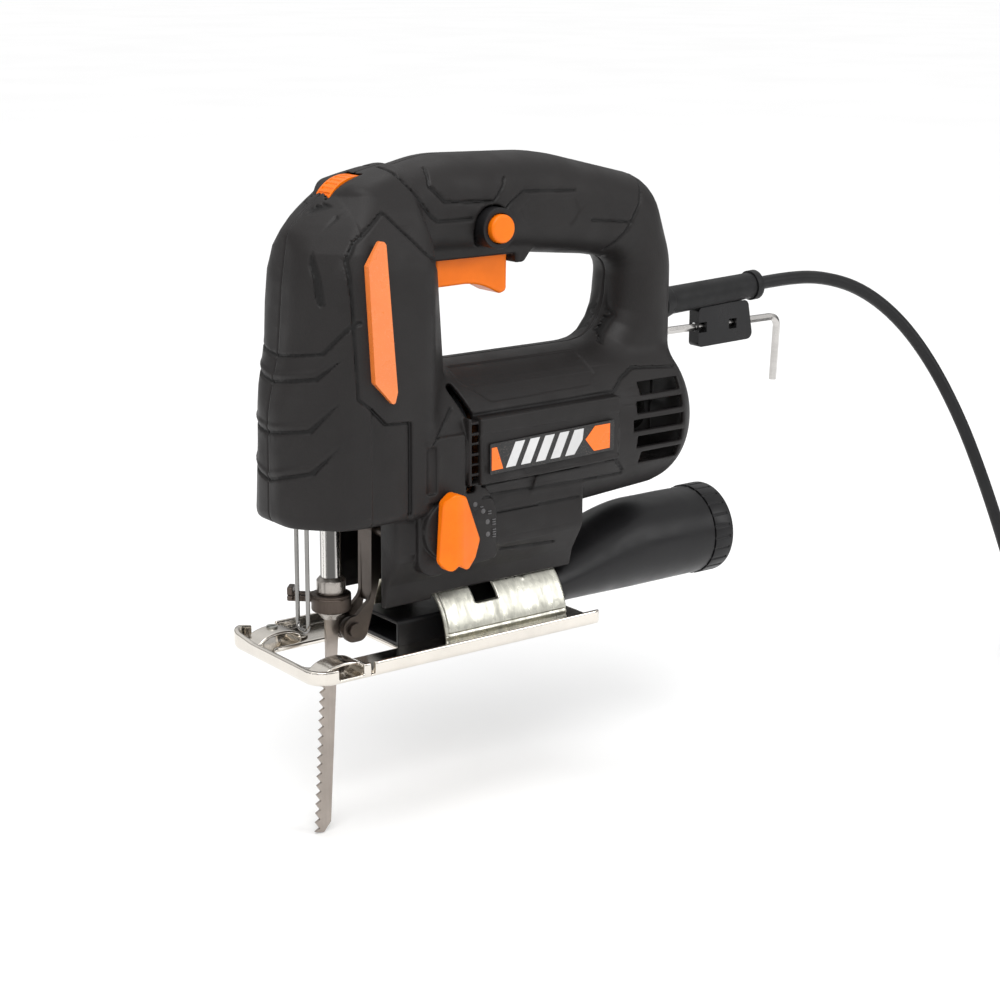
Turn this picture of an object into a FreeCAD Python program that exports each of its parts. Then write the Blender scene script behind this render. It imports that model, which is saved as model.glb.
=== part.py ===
"""Corded jigsaw with a D handle, an orbital roller and a tilting sole.

Origin: where the plunger's axis meets the underside of the sole. +Z is up, +X points
to the rear of the tool and -Y is the side with the orbital lever. Millimetres.
"""
import FreeCAD, Part
import Sketcher
import math
import os
from FreeCAD import Vector

DOC = FreeCAD.newDocument("Jigsaw")

DIMENSIONS = dict(
    # sole
    sole_front=29.4, sole_length=143.0, sole_width=69.0, sole_sheet=2.0, sole_lip=6.3,
    sole_corner=4.0, opening_front=20.5, opening_rear=23.0, opening_width=28.0,
    fence_place=12.5, fence_width=11.6, fence_height=3.0, strap_length=11.0, strap_inset=5.0,
    # tilting bracket between sole and housing
    tilt_height=3.0, cradle_radius=27.5, cradle_sheet=1.8, cradle_front=37.5,
    cradle_length=62.5, cradle_slot_place=61.0, cradle_slot_width=11.6, skirt_gap=0.5,
    # dust extraction
    duct_front=23.4, duct_width=26.6, duct_height=10.6, duct_wall=1.6, duct_length=66.0,
    tube_start=90.0, tube_mouth=10.4, tube_radius=19.8, tube_height=21.3, tube_wall=1.5,
    tube_straight=158.0,
    tube_end=191.0, cap_length=11.0, cap_radius=20.4, cap_bore=17.2,
    cap_spigot=9.0,
    # housing
    wall=2.6, motor_height=82.5, barrel_radius=33.0, barrel_front=36.0, barrel_rear=170.0,
    head_width=68.0, head_bottom=58.0, head_front=28.8, handle_width=35.0, handle_top=199.6,
    hole_front=44.0, hole_rear=140.0, hole_floor=113.0, hole_roof=157.5, skirt_width=56.0,
    skirt_rear=108.0, skirt_front=13.0, skirt_floor=24.4,
    # drive
    stator_front=62.0, stator_length=50.0, stator_radius=27.5, armature_radius=17.8,
    air_gap=0.6, shaft_radius=4.0, shaft_front=22.0, shaft_rear=157.0, commutator_front=120.0,
    commutator_length=12.0, commutator_radius=11.0, fan_front=44.0, fan_length=9.0,
    fan_radius=23.5, bearing_front=33.0, bearing_width=7.0, bearing_radius=11.0,
    rear_bearing_radius=9.5, pinion_teeth=10, gear_teeth=36, tooth_reach=0.6, gear_distance=26.5,
    gear_front=20.0, gear_width=9.0, crank_throw=9.5, crank_pin_radius=3.0, plate_front=31.5,
    plate_thick=4.5, running_gap=0.05, free_gap=0.4,
    # plunger, blade and clamp
    stroke=19.0, plunger_radius=4.25, plunger_top=140.0, plunger_foot=33.0, bush_radius=8.0,
    bush_length=14.0, guide_height=131.0, guide_thick=8.0, collar_radius=5.9, ring_radius=8.1,
    ring_floor=19.0, ring_height=7.0, holder_radius=4.6, blade_width=7.4, blade_thick=1.2,
    blade_tip=76.4, blade_rear=2.2, blade_lean=3.5, tooth_pitch=4.0, tooth_depth=2.2,
    # orbital action
    roller_height=10.0, roller_radius=4.8, roller_width=5.0, roller_gap=0.3, fork_plate=2.0,
    fork_pivot_place=20.5, fork_pivot_height=50.0, lever_place=35.5, lever_height=54.0,
    lever_shaft_radius=4.0, lever_face=34.6, lever_thick=6.6,
    # controls
    dial_place=12.0, dial_height=177.5, dial_radius=15.2, dial_width=10.0, trigger_front=47.0,
    trigger_rear=82.6, trigger_floor=140.9, trigger_width=15.0, button_place=68.0,
    button_height=170.0, button_radius=5.75, button_face=24.6, collar_outer=8.25,
    # wire guard, cord outlet and hex key
    guard_place=13.5, guard_spread=7.8, guard_wire=0.9, guard_floor=12.5, cord_radius=3.0,
    boot_radius=6.2, boot_height=127.0, boot_rise=3.0, boot_end=228.6, key_size=3.0,
    key_height=114.2, key_front=175.0, key_rear=243.6, key_drop=29.5, coil_radius=33.0,
    plug_width=35.0, plug_height=17.0,
)

SHEET = DOC.addObject("Spreadsheet::Sheet", "dim")
for row, (alias, value) in enumerate(DIMENSIONS.items(), 1):
    SHEET.set("A%d" % row, alias)
    SHEET.set("B%d" % row, str(value))
    SHEET.setAlias("B%d" % row, alias)
DOC.recompute()


def size(text):
    """The number that a spreadsheet expression gives."""
    return float(SHEET.evalExpression(text))


def bind(obj, **expressions):
    """Bind properties to spreadsheet expressions; a double underscore stands for a dot."""
    for name, text in expressions.items():
        obj.setExpression(name.replace("__", "."), text)
    return obj


def place(obj, x="0", y="0", z="0"):
    """Bind an object's position to spreadsheet expressions."""
    for axis, text in zip("xyz", (x, y, z)):
        obj.setExpression("Placement.Base." + axis, text)
    return obj


NODES = []


def node(obj, label):
    """Name an object as a sub-part that is written out."""
    obj.Label = label
    NODES.append(obj)
    return obj


# ---------------------------------------------------------------- parametric helpers

TURNS = {
    "X": FreeCAD.Rotation(Vector(0, 1, 0), 90),
    "Y": FreeCAD.Rotation(Vector(1, 0, 0), -90),
    "Z": FreeCAD.Rotation(),
}


def cylinder(radius, length, axis="Z", x="0", y="0", z="0"):
    """A Part cylinder that starts at x, y, z and runs along +axis."""
    obj = DOC.addObject("Part::Cylinder", "Cylinder")
    obj.Placement = FreeCAD.Placement(Vector(), TURNS[axis])
    bind(obj, Radius=radius, Height=length)
    return place(obj, x, y, z)


def tube(radius, bore, length, axis="Z", x="0", y="0", z="0"):
    """A round ring with a bore."""
    outer = cylinder(radius, length, axis, x, y, z)
    inner = cylinder(bore, length, axis, x, y, z)
    return cut(outer, inner)


def box(length, width, height, x="0", y="0", z="0"):
    """A Part box whose lowest corner is at x, y, z."""
    obj = DOC.addObject("Part::Box", "Box")
    bind(obj, Length=length, Width=width, Height=height)
    return place(obj, x, y, z)


def middle_box(length, width, height, x="0", z="0"):
    """A box from x and z that is centred on y = 0."""
    return box(length, width, height, x, "-(%s) / 2" % width, z)


def fuse(*parts):
    obj = DOC.addObject("Part::MultiFuse", "Fusion")
    obj.Shapes = list(parts)
    return obj


def cut(base, *tools):
    obj = DOC.addObject("Part::Cut", "Cut")
    obj.Base = base
    obj.Tool = tools[0] if len(tools) == 1 else fuse(*tools)
    return obj


def plane_of(body, role):
    """One of a body's own origin planes."""
    return next(item for item in body.Origin.OriginFeatures if item.Role == role)


def sketch(body, plane, points):
    """A closed polygon sketch whose corners are bound to spreadsheet expressions."""
    drawing = body.newObject("Sketcher::SketchObject", "Outline")
    drawing.AttachmentSupport = (plane_of(body, plane), "")
    drawing.MapMode = "FlatFace"
    corners = [Vector(size(across), size(up), 0) for across, up in points]
    count = len(corners)
    for index in range(count):
        side = Part.LineSegment(corners[index], corners[(index + 1) % count])
        drawing.addGeometry(side, False)
    for index in range(count):
        drawing.addConstraint(Sketcher.Constraint("Coincident", index, 2, (index + 1) % count, 1))
    for index, (across, up) in enumerate(points):
        for kind, letter, text in (("DistanceX", "x", across), ("DistanceY", "y", up)):
            number = drawing.addConstraint(Sketcher.Constraint(kind, -1, 1, index, 1, size(text)))
            name = "%s%d" % (letter, index)
            drawing.renameConstraint(number, name)
            drawing.setExpression("Constraints." + name, text)
    return drawing


def pad(body, drawing, length, both=True, back=False):
    feature = body.newObject("PartDesign::Pad", "Pad")
    feature.Profile = drawing
    feature.Midplane = both
    feature.Reversed = back
    feature.setExpression("Length", length)
    return feature


def pocket(body, drawing, length, both=True, back=False):
    feature = body.newObject("PartDesign::Pocket", "Pocket")
    feature.Profile = drawing
    feature.Midplane = both
    feature.Reversed = back
    feature.setExpression("Length", length)
    return feature


def turned(label, points, axis="H_Axis", x="0", y="0", z="0", plane="XZ_Plane"):
    """A body made by revolving an outline about one axis of its sketch."""
    body = DOC.addObject("PartDesign::Body", "Body")
    drawing = sketch(body, plane, points)
    feature = body.newObject("PartDesign::Revolution", "Revolution")
    feature.Profile = drawing
    feature.ReferenceAxis = (drawing, [axis])
    feature.Angle = 360
    place(body, x, y, z)
    return node(body, label) if label else body


def extruded(label, plane, points, length, both=True, x="0", y="0", z="0"):
    """A body made by padding an outline."""
    body = DOC.addObject("PartDesign::Body", "Body")
    pad(body, sketch(body, plane, points), length, both)
    place(body, x, y, z)
    return node(body, label) if label else body


def feature(label, shape):
    """A sub-part whose shape is worked out below from the sheet."""
    obj = DOC.addObject("Part::Feature", "Feature")
    obj.Shape = shape
    return node(obj, label)


# ---------------------------------------------------------------- free-form helpers

def rounded(points, frame):
    """A closed wire through points (across, up, radius), in the plane given by frame."""
    flat = [Vector(across, up, 0) for across, up, radius in points]
    edges = []
    ends = []
    for index, (across, up, radius) in enumerate(points):
        here = flat[index]
        before = (flat[index - 1] - here).normalize()
        after = (flat[(index + 1) % len(flat)] - here).normalize()
        if radius:
            half = before.getAngle(after) / 2
            reach = radius / math.tan(half)
            start = here + before * reach
            end = here + after * reach
            toward = (before + after).normalize()
            mid = here + toward * (radius / math.sin(half) - radius)
            edges.append(Part.Arc(start, mid, end).toShape())
        else:
            start = end = here
        ends.append((start, end))
    for index in range(len(flat)):
        leave = ends[index][1]
        reach = ends[(index + 1) % len(flat)][0]
        if leave.distanceToPoint(reach) > 1e-6:
            edges.append(Part.LineSegment(leave, reach).toShape())
    wire = Part.Wire(Part.__sortEdges__(edges))
    wire.transformShape(frame)
    return wire


def axes(across, up):
    """A matrix that carries flat outlines onto the plane of two axes."""
    out = across.cross(up)
    return FreeCAD.Matrix(across.x, up.x, out.x, 0, across.y, up.y, out.y, 0,
                          across.z, up.z, out.z, 0, 0, 0, 0, 1)


SIDE = axes(Vector(1, 0, 0), Vector(0, 0, 1))
PLAN = axes(Vector(1, 0, 0), Vector(0, 1, 0))
END = axes(Vector(0, 1, 0), Vector(0, 0, 1))


def slab(points, frame, start, end, inset=0.0):
    """A prism on a rounded outline, drawn in by inset, from start to end along its normal."""
    wire = rounded(points, frame)
    if inset:
        wire = wire.makeOffset2D(-inset)
    out = {id(SIDE): Vector(0, 1, 0), id(PLAN): Vector(0, 0, 1), id(END): Vector(1, 0, 0)}[id(frame)]
    face = Part.Face(wire)
    face.translate(out * start)
    return face.extrude(out * (end - start))


def block(x0, x1, y0, y1, z0, z1):
    return Part.makeBox(x1 - x0, y1 - y0, z1 - z0, Vector(x0, y0, z0))


def rod(radius, start, end):
    """A solid cylinder between two points."""
    return Part.makeCylinder(radius, (end - start).Length, start, end - start)


def smooth_path(points, share=0.45):
    """Straight runs through the points, joined by tangent arcs; also gives the radii."""
    corners = [Vector(*point) for point in points]
    edges = []
    radii = []
    last = corners[0]
    for before, here, after in zip(corners, corners[1:], corners[2:]):
        back = (before - here).normalize()
        ahead = (after - here).normalize()
        reach = share * min((before - here).Length, (after - here).Length)
        half = back.getAngle(ahead) / 2
        radius = reach * math.tan(half)
        start = here + back * reach
        end = here + ahead * reach
        mid = here + (back + ahead).normalize() * (radius / math.sin(half) - radius)
        edges.append(Part.LineSegment(last, start).toShape())
        edges.append(Part.Arc(start, mid, end).toShape())
        radii.append(radius)
        last = end
    edges.append(Part.LineSegment(last, corners[-1]).toShape())
    return Part.Wire(edges), radii


def swept(points, radius, share=0.45):
    """A round bar along a smooth path."""
    path, radii = smooth_path(points, share)
    first = Vector(*points[1]) - Vector(*points[0])
    profile = Part.Wire(Part.Circle(Vector(*points[0]), first, radius).toShape())
    return path.makePipeShell([profile], True, True), path, radii


# ---------------------------------------------------------------- housing

D = {alias: size(alias) for alias in DIMENSIONS}
HALF = D["head_width"] / 2
GRIP = D["handle_width"] / 2
MOTOR = D["motor_height"]
BOOT_START = Vector(D["barrel_rear"] - D["wall"] - 3, 0, D["boot_height"])
BOOT_END = Vector(D["boot_end"], 0, D["boot_height"] + D["boot_rise"])


def handle_loop(inset):
    """The D handle: a rounded loop with a finger hole."""
    top = D["handle_top"]
    rear = D["barrel_rear"]
    outline = [(5, 110, 0), (5, top - 11, 8), (46, top, 60), (100, top - 1.8, 90),
               (rear - 11, top - 16.5, 24), (rear, 150, 40), (rear, MOTOR, 0), (60, MOTOR, 0)]
    front, back, floor, roof = (D[k] for k in ("hole_front", "hole_rear", "hole_floor", "hole_roof"))
    hole = [(front + 1, floor, 8), (front - 4, roof + 1.5, 5), (front + 42, roof + 1, 30),
            (front + 80, roof - 3, 14), (back + 1, roof - 9, 14), (back - 3, floor, 12)]
    width = GRIP - inset
    loop = slab(outline, SIDE, -width, width, inset)
    hollow = slab(hole, SIDE, -width - 1, width + 1, -inset)
    loop = loop.cut(hollow)
    edges = [edge for edge in loop.Edges
             if abs(abs(edge.BoundBox.YMin) - width) < 0.01 and edge.BoundBox.YLength < 0.01
             and edge.BoundBox.ZMax > D["hole_floor"] + 0.2]
    return loop.makeFillet(12.5 - inset, edges)


def head_block(inset):
    """The tall front part around the plunger, with a rounded nose and a sloping roof."""
    bottom = D["head_bottom"]
    front = D["head_front"]
    side = [(-front + 4, bottom, 2), (-front, bottom + 7, 5), (-front + 0.8, 104, 20),
            (-22.5, 127, 12), (-20.8, 152, 60), (-17.5, 175, 12), (-4, 186, 14), (20, 194.5, 20),
            (40, 197, 0), (D["hole_front"] + 4, bottom, 0)]
    rear = D["hole_front"] + 1
    plan = [(-front, 8, 6), (-front + 3.2, 17, 10), (-13, 29, 14), (8, HALF, 30), (27, HALF, 8),
            (rear, 16, 8), (rear, -16, 8), (27, -HALF, 8), (8, -HALF, 30), (-13, -29, 14),
            (-front + 3.2, -17, 10), (-front, -8, 6)]
    end = [(-28, bottom, 2), (-HALF, bottom + 6.5, 3), (-HALF - 0.3, 160, 8), (-19, 184, 10),
           (-11, 199, 0), (11, 199, 0), (19, 184, 10), (HALF + 0.3, 160, 8),
           (HALF, bottom + 6.5, 3), (28, bottom, 2)]
    body = slab(side, SIDE, -HALF - 2, HALF + 2, inset)
    body = body.common(slab(plan, PLAN, bottom - 5, 215, inset))
    return body.common(slab(end, END, -60, 80, inset))


def barrel(inset):
    """The motor barrel with a rounded rear end."""
    front = D["barrel_front"] + inset
    rear = D["barrel_rear"] - inset
    radius = D["barrel_radius"] - inset
    curve = 15.0 - inset
    centre = Vector(rear - curve, 0, radius - curve)
    corner = Part.Arc(centre + Vector(0, 0, curve),
                      centre + Vector(curve * math.sin(math.pi / 4), 0, curve * math.sin(math.pi / 4)),
                      centre + Vector(curve, 0, 0))
    points = [Vector(front, 0, 0), Vector(front, 0, radius), centre + Vector(0, 0, curve)]
    edges = [Part.makeLine(points[0], points[1]), Part.makeLine(points[1], points[2]),
             corner.toShape(), Part.makeLine(centre + Vector(curve, 0, 0), Vector(rear, 0, 0)),
             Part.makeLine(Vector(rear, 0, 0), points[0])]
    solid = Part.Face(Part.Wire(edges)).revolve(Vector(), Vector(1, 0, 0), 360)
    solid.translate(Vector(0, 0, MOTOR))
    return solid


def side_panels(inset):
    """The flat pads on both flanks of the barrel."""
    outline = [(44, 70, 3), (122, 70, 4), (122, 98, 4), (44, 98, 3)]
    reach = D["barrel_radius"] + 1.4 - inset
    return slab(outline, SIDE, -reach, reach, inset)


def skirt_block(inset):
    """The base of the housing, which narrows down to the tilting bracket."""
    half = D["skirt_width"] / 2
    floor = D["skirt_floor"]
    end = [(-half, 66, 0), (-half, 43, 6), (-20.2, 32, 4), (-16.6, floor, 0), (16.6, floor, 0),
           (20.2, 32, 4), (half, 43, 6), (half, 66, 0)]
    return slab(end, END, D["skirt_front"] + inset, D["skirt_rear"] - inset, inset)


def lever_boss():
    """The round seat of the orbital lever, on the left only."""
    return rod(12.5, Vector(D["lever_place"], -12, D["lever_height"]),
               Vector(D["lever_place"], -D["lever_face"] + 0.4, D["lever_height"]))


def rib(inner, start, thick, holes, low=0, high=220):
    """A cross wall that fills the hollow between two planes, less its holes."""
    wall = inner.common(block(start, start + thick, -60, 60, low, high))
    for hole in holes:
        wall = wall.cut(hole)
    return wall


def along_motor(radius, start, end):
    return rod(radius, Vector(start, 0, MOTOR), Vector(end, 0, MOTOR))


def vents():
    """Air outlet ribs between head and barrel, and five inlet slots at the rear."""
    tools = []
    for index in range(8):
        angle = math.radians(-38 + index * 9.5)
        height = MOTOR + 33 * math.sin(angle) * 0.72
        for sign in (-1, 1):
            tools.append(block(39, 43.5, min(sign * 20, sign * 40), max(sign * 20, sign * 40),
                               height, height + 2.4))
    for index in range(5):
        height = MOTOR - 15.5 + index * 7.2
        lead = 2.5 * abs(index - 2) ** 1.2
        for sign in (-1, 1):
            tools.append(block(126 + lead, 150, min(sign * 18, sign * 40),
                               max(sign * 18, sign * 40), height, height + 3.8))
    return tools


def housing_cuts():
    """Everything that opens through the housing's walls."""
    dial = rod(D["dial_radius"] + D["free_gap"],
               Vector(D["dial_place"], -D["dial_width"] / 2 - D["free_gap"], D["dial_height"]),
               Vector(D["dial_place"], D["dial_width"] / 2 + D["free_gap"], D["dial_height"]))
    half = D["trigger_width"] / 2 + D["free_gap"]
    trigger = block(D["trigger_front"] - 1, D["trigger_rear"] + 1.2, -half, half, 150, 164.5)
    pin = rod(1.62, Vector(D["trigger_front"] + 3, -half - 2.1, 160),
              Vector(D["trigger_front"] + 3, half + 2.1, 160))
    button = rod(D["collar_outer"], Vector(D["button_place"], -13, D["button_height"]),
                 Vector(D["button_place"], -40, D["button_height"]))
    bush = rod(D["bush_radius"], Vector(0, 0, 50), Vector(0, 0, D["head_bottom"] + D["wall"] + 1))
    guards = [rod(D["guard_wire"], Vector(-D["guard_place"], sign * D["guard_spread"] / 2, 50),
                  Vector(-D["guard_place"], sign * D["guard_spread"] / 2, 75)) for sign in (-1, 1)]
    shaft = rod(D["lever_shaft_radius"] + D["running_gap"],
                Vector(D["lever_place"], -45, D["lever_height"]),
                Vector(D["lever_place"], 60, D["lever_height"]))
    pivot = rod(2.5, Vector(D["fork_pivot_place"], -20.5, D["fork_pivot_height"]),
                Vector(D["fork_pivot_place"], 20.5, D["fork_pivot_height"]))
    boot = rod(D["boot_radius"] + 0.02, BOOT_START, BOOT_END)
    flange = rod(D["boot_radius"] + 2.42, BOOT_START, BOOT_START + Vector(3, 0, 0))
    cradle = rod(D["cradle_radius"] + D["skirt_gap"],
                 Vector(D["skirt_front"] - 20, 0, D["tilt_height"]),
                 Vector(D["skirt_rear"] + 20, 0, D["tilt_height"]))
    channel = block(D["skirt_front"] - 10, 46, -16.5, 16.5, 10, D["head_bottom"])
    channel = channel.cut(block(41, 60, -30, 30, 45, 70))
    bolts = [rod(2.5, Vector(x, 0, 25), Vector(x, 0, 48)) for x in bolt_places()]
    return [dial, trigger, pin, button, bush, shaft, pivot, boot, flange, cradle, channel] + guards + bolts


def bolt_places():
    return [D["cradle_slot_place"]]


SCREWS = [(-12, 160), (-14, 86), (32, 150), (15, 68), (60, 189), (124, 184), (155, 112),
          (50, 50), (98, 50), (148, 62)]


def bosses():
    """The screw posts inside, each one along Y across the parting plane."""
    return [rod(4.6, Vector(x, -60, z), Vector(x, 60, z)) for x, z in SCREWS]


def make_housing():
    """Both halves of the housing, parted at y = 0."""
    outer = handle_loop(0).fuse([head_block(0), barrel(0), side_panels(0), skirt_block(0),
                                 lever_boss()])
    inner = handle_loop(D["wall"]).fuse([head_block(D["wall"]), barrel(D["wall"]),
                                         skirt_block(D["wall"])])
    channel_lining = block(D["skirt_front"], 48.6, -30, 30, 10, D["head_bottom"] + 0.01)
    inner = inner.cut(channel_lining)
    shell = outer.cut(inner)
    stator = along_motor(D["stator_radius"], 30, 140)
    ribs = [
        rib(inner, D["plate_front"] + D["plate_thick"], 2.5, [along_motor(20, 20, 60)]),
        rib(inner, 68, 2, [stator], 0, 114),
        rib(inner, 104, 2, [stator], 0, 114),
        rib(inner, D["commutator_front"] - 2.4, 2, [along_motor(15, 100, 140)], 0, 114),
        rib(inner, 50.8, 2, [], 158),
        rib(inner, 89.2, 2, [], 158),
        rib(inner, D["shaft_rear"] - 6.5, 6,
            [along_motor(D["rear_bearing_radius"], 140, 168), block(140, 168, -60, 60, 100, 220)]),
    ]
    shell = shell.fuse(ribs + [post.common(inner) for post in bosses()])
    shell = shell.cut(housing_cuts() + vents() + switch_pocket())
    right_screws = [rod(1.6, Vector(x, -GRIP + 5, z), Vector(x, 60, z)) for x, z in SCREWS]
    right_heads = [rod(3.2, Vector(x, GRIP - 5, z), Vector(x, 60, z)) for x, z in SCREWS]
    shell = shell.cut(right_screws + right_heads)
    left = shell.common(block(-60, 230, -60, 0, 0, 220))
    right = shell.common(block(-60, 230, 0, 60, 0, 220))
    return left, right


def switch_pocket():
    """The room that the switch takes from the ribs and posts of the handle."""
    return [block(52, 92, -9.5, 9.5, 164, 183)]


left, right = make_housing()
feature("housing_left", left)
feature("housing_right", right)


def strip(sign):
    """The long coloured inlay on one side of the head, proud of it by a hair."""
    outline = [(-2.8, 162.4, 0.8), (3.6, 172.2, 1.2), (5.2, 170, 1), (9.9, 113, 1),
               (8.4, 107.6, 1), (-0.3, 117.4, 1)]
    plate = slab(outline, SIDE, 0, 3.2)
    plate.translate(Vector(0, HALF - 2.7 if sign > 0 else -HALF - 0.5, 0))
    return plate


def badge(sign):
    """The label plate on one flank of the barrel."""
    start = D["barrel_radius"] + 1.4
    plate = slab([(53.8, 74, 0.6), (118, 75.4, 0.6), (118, 88.2, 0.6), (53.8, 86.5, 0.6)],
                 SIDE, start, start + 0.5)
    if sign < 0:
        plate = plate.mirror(Vector(), Vector(0, 1, 0))
    return plate


for word, sign in (("left", -1), ("right", 1)):
    inlay = strip(sign)
    for name in ("housing_left", "housing_right"):
        half = next(item for item in NODES if item.Label == name)
        half.Shape = half.Shape.cut(inlay)
    feature("accent_" + word, inlay)
    feature("badge_" + word, badge(sign))


def screw_shape(x, z):
    """One pan-head screw driven from the right, with a cross recess."""
    seat = GRIP - 5
    shape = rod(1.6, Vector(x, -GRIP + 5, z), Vector(x, seat, z))
    head = rod(3.0, Vector(x, seat, z), Vector(x, seat + 2.4, z))
    head = head.cut([block(x - 2, x + 2, seat + 1, seat + 3, z - 0.4, z + 0.4),
                     block(x - 0.4, x + 0.4, seat + 1, seat + 3, z - 2, z + 2)])
    return shape.fuse(head)


feature("housing_screws", Part.makeCompound([screw_shape(x, z) for x, z in SCREWS]))

# ---------------------------------------------------------------- motor and gears

MOTOR_LINE = "dim.motor_height"
GEAR_LINE = "(dim.motor_height + dim.gear_distance)"

turned("armature_shaft", [
    ("dim.shaft_front", "0"), ("dim.shaft_front", "dim.shaft_radius"),
    ("dim.shaft_rear - 7", "dim.shaft_radius"), ("dim.shaft_rear - 7", "dim.shaft_radius - 0.6"),
    ("dim.shaft_rear", "dim.shaft_radius - 0.6"), ("dim.shaft_rear", "0")], z=MOTOR_LINE)
CORE_FRONT = "(dim.stator_front + 2)"
CORE_REAR = "(dim.stator_front + dim.stator_length - 2)"
turned("armature_core", [
    (CORE_FRONT + " - 6", "dim.shaft_radius"), (CORE_FRONT + " - 6", "11"),
    (CORE_FRONT + " - 4", "14"), (CORE_FRONT, "14.5"), (CORE_FRONT, "dim.armature_radius"),
    (CORE_REAR, "dim.armature_radius"), (CORE_REAR, "14.5"), (CORE_REAR + " + 4", "14"),
    (CORE_REAR + " + 6", "11"), (CORE_REAR + " + 6", "dim.shaft_radius")], z=MOTOR_LINE)
COMMUTATOR_REAR = "(dim.commutator_front + dim.commutator_length)"
turned("commutator", [
    (CORE_REAR + " + 6", "dim.shaft_radius"), (CORE_REAR + " + 6", "9"),
    ("dim.commutator_front", "9"), ("dim.commutator_front", "dim.commutator_radius + 1"),
    ("dim.commutator_front + 1.5", "dim.commutator_radius + 1"),
    ("dim.commutator_front + 1.5", "dim.commutator_radius"),
    (COMMUTATOR_REAR, "dim.commutator_radius"), (COMMUTATOR_REAR, "dim.shaft_radius")],
    z=MOTOR_LINE)


def make_fan():
    """A fan wheel: a hub, a back plate and twelve straight blades."""
    front = D["fan_front"]
    rear = front + D["fan_length"]
    radius = D["fan_radius"]
    wheel = along_motor(9, front, rear).fuse(along_motor(radius, rear - 1.8, rear))
    blades = []
    for index in range(12):
        blade = block(front + 1, rear - 1, -0.7, 0.7, 8, radius - 0.5)
        blade.rotate(Vector(), Vector(1, 0, 0), index * 30)
        blade.translate(Vector(0, 0, MOTOR))
        blades.append(blade)
    return wheel.fuse(blades).cut(along_motor(D["shaft_radius"], front - 1, rear + 1))


feature("fan", make_fan())


def spur(teeth, radius, depth, start, width, bore, height):
    """A spur gear about an axis along X, with tapered teeth."""
    root = radius - depth
    outline = []
    for index in range(teeth):
        for share, reach in ((-0.25, root), (-0.12, radius), (0.12, radius), (0.25, root)):
            angle = 2 * math.pi * (index + share) / teeth
            outline.append(Vector(start, reach * math.cos(angle), reach * math.sin(angle)))
    wheel = Part.Face(Part.makePolygon(outline + outline[:1])).extrude(Vector(width, 0, 0))
    wheel = wheel.cut(rod(bore, Vector(start - 1, 0, 0), Vector(start + width + 1, 0, 0)))
    wheel.translate(Vector(0, 0, height))
    return wheel


GEAR_HEIGHT = MOTOR + D["gear_distance"]
MODULE = 2 * D["gear_distance"] / (D["pinion_teeth"] + D["gear_teeth"])
PINION_REACH = MODULE * D["pinion_teeth"] / 2 + D["tooth_reach"]
GEAR_REACH = MODULE * D["gear_teeth"] / 2 + D["tooth_reach"]
feature("pinion", spur(int(D["pinion_teeth"]), PINION_REACH, 2 * D["tooth_reach"] + 0.2,
                       D["shaft_front"], 9.5, D["shaft_radius"], MOTOR))


def make_gear():
    """The driven gear with its hub, four lightening holes and the crank pin."""
    front = D["gear_front"]
    wheel = spur(int(D["gear_teeth"]), GEAR_REACH, 2 * D["tooth_reach"] + 0.2, front, D["gear_width"],
                 D["shaft_radius"] + D["running_gap"], GEAR_HEIGHT)
    for index in range(4):
        angle = math.radians(index * 90)
        spot = Vector(0, 12.5 * math.cos(angle), GEAR_HEIGHT + 12.5 * math.sin(angle))
        if index != 3:
            wheel = wheel.cut(rod(3, spot + Vector(front - 1, 0, 0), spot + Vector(front + 20, 0, 0)))
    return wheel


feature("drive_gear", make_gear())
PIN_FRONT = D["gear_front"] - 6.6
feature("crank_pin", rod(D["crank_pin_radius"],
                         Vector(PIN_FRONT, 0, GEAR_HEIGHT - D["crank_throw"]),
                         Vector(D["gear_front"], 0, GEAR_HEIGHT - D["crank_throw"])))
node(cylinder("dim.shaft_radius", "dim.plate_front - dim.gear_front + 1.4", "X",
              "dim.gear_front - 1.4", "0", GEAR_LINE), "gear_stud")


def make_gear_case():
    """The cast bracket that carries the front bearing, the gear stud and the upper bush."""
    front = D["plate_front"]
    rear = front + D["plate_thick"]
    plate = slab([(-19, 63, 5), (19, 63, 5), (22, 90, 20), (19, 139, 6), (-19, 139, 6),
                  (-22, 90, 20)], END, front, rear)
    plate = plate.fuse(along_motor(D["bearing_radius"] + 2.4, front, D["bearing_front"] + 7))
    low = D["guide_height"]
    arm = block(-9, front + 1, -10, 10, low, low + D["guide_thick"])
    web = block(30, front + 1, -19, 19, low - 4, low + D["guide_thick"])
    bore = along_motor(D["bearing_radius"], D["bearing_front"], 60)
    relief = along_motor(8, front - 1, 60)
    bush = rod(D["bush_radius"] - 2, Vector(0, 0, low - 1), Vector(0, 0, low + 20))
    return plate.fuse([arm, web]).cut([bore, relief, bush])


feature("gear_case", make_gear_case())
node(tube("dim.bearing_radius", "dim.shaft_radius + dim.running_gap", "dim.bearing_width", "X",
          "dim.bearing_front", "0", MOTOR_LINE), "front_bearing")
node(tube("dim.rear_bearing_radius", "dim.shaft_radius - 0.6 + dim.running_gap", "6", "X",
          "dim.shaft_rear - 6.5", "0", MOTOR_LINE), "rear_bearing")
node(tube("dim.bush_radius", "dim.plunger_radius + dim.running_gap", "dim.bush_length", "Z",
          "0", "0", "dim.head_bottom - 1"), "lower_bush")
node(tube("dim.bush_radius - 2", "dim.plunger_radius + dim.running_gap", "dim.guide_thick", "Z",
          "0", "0", "dim.guide_height"), "upper_bush")


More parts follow.
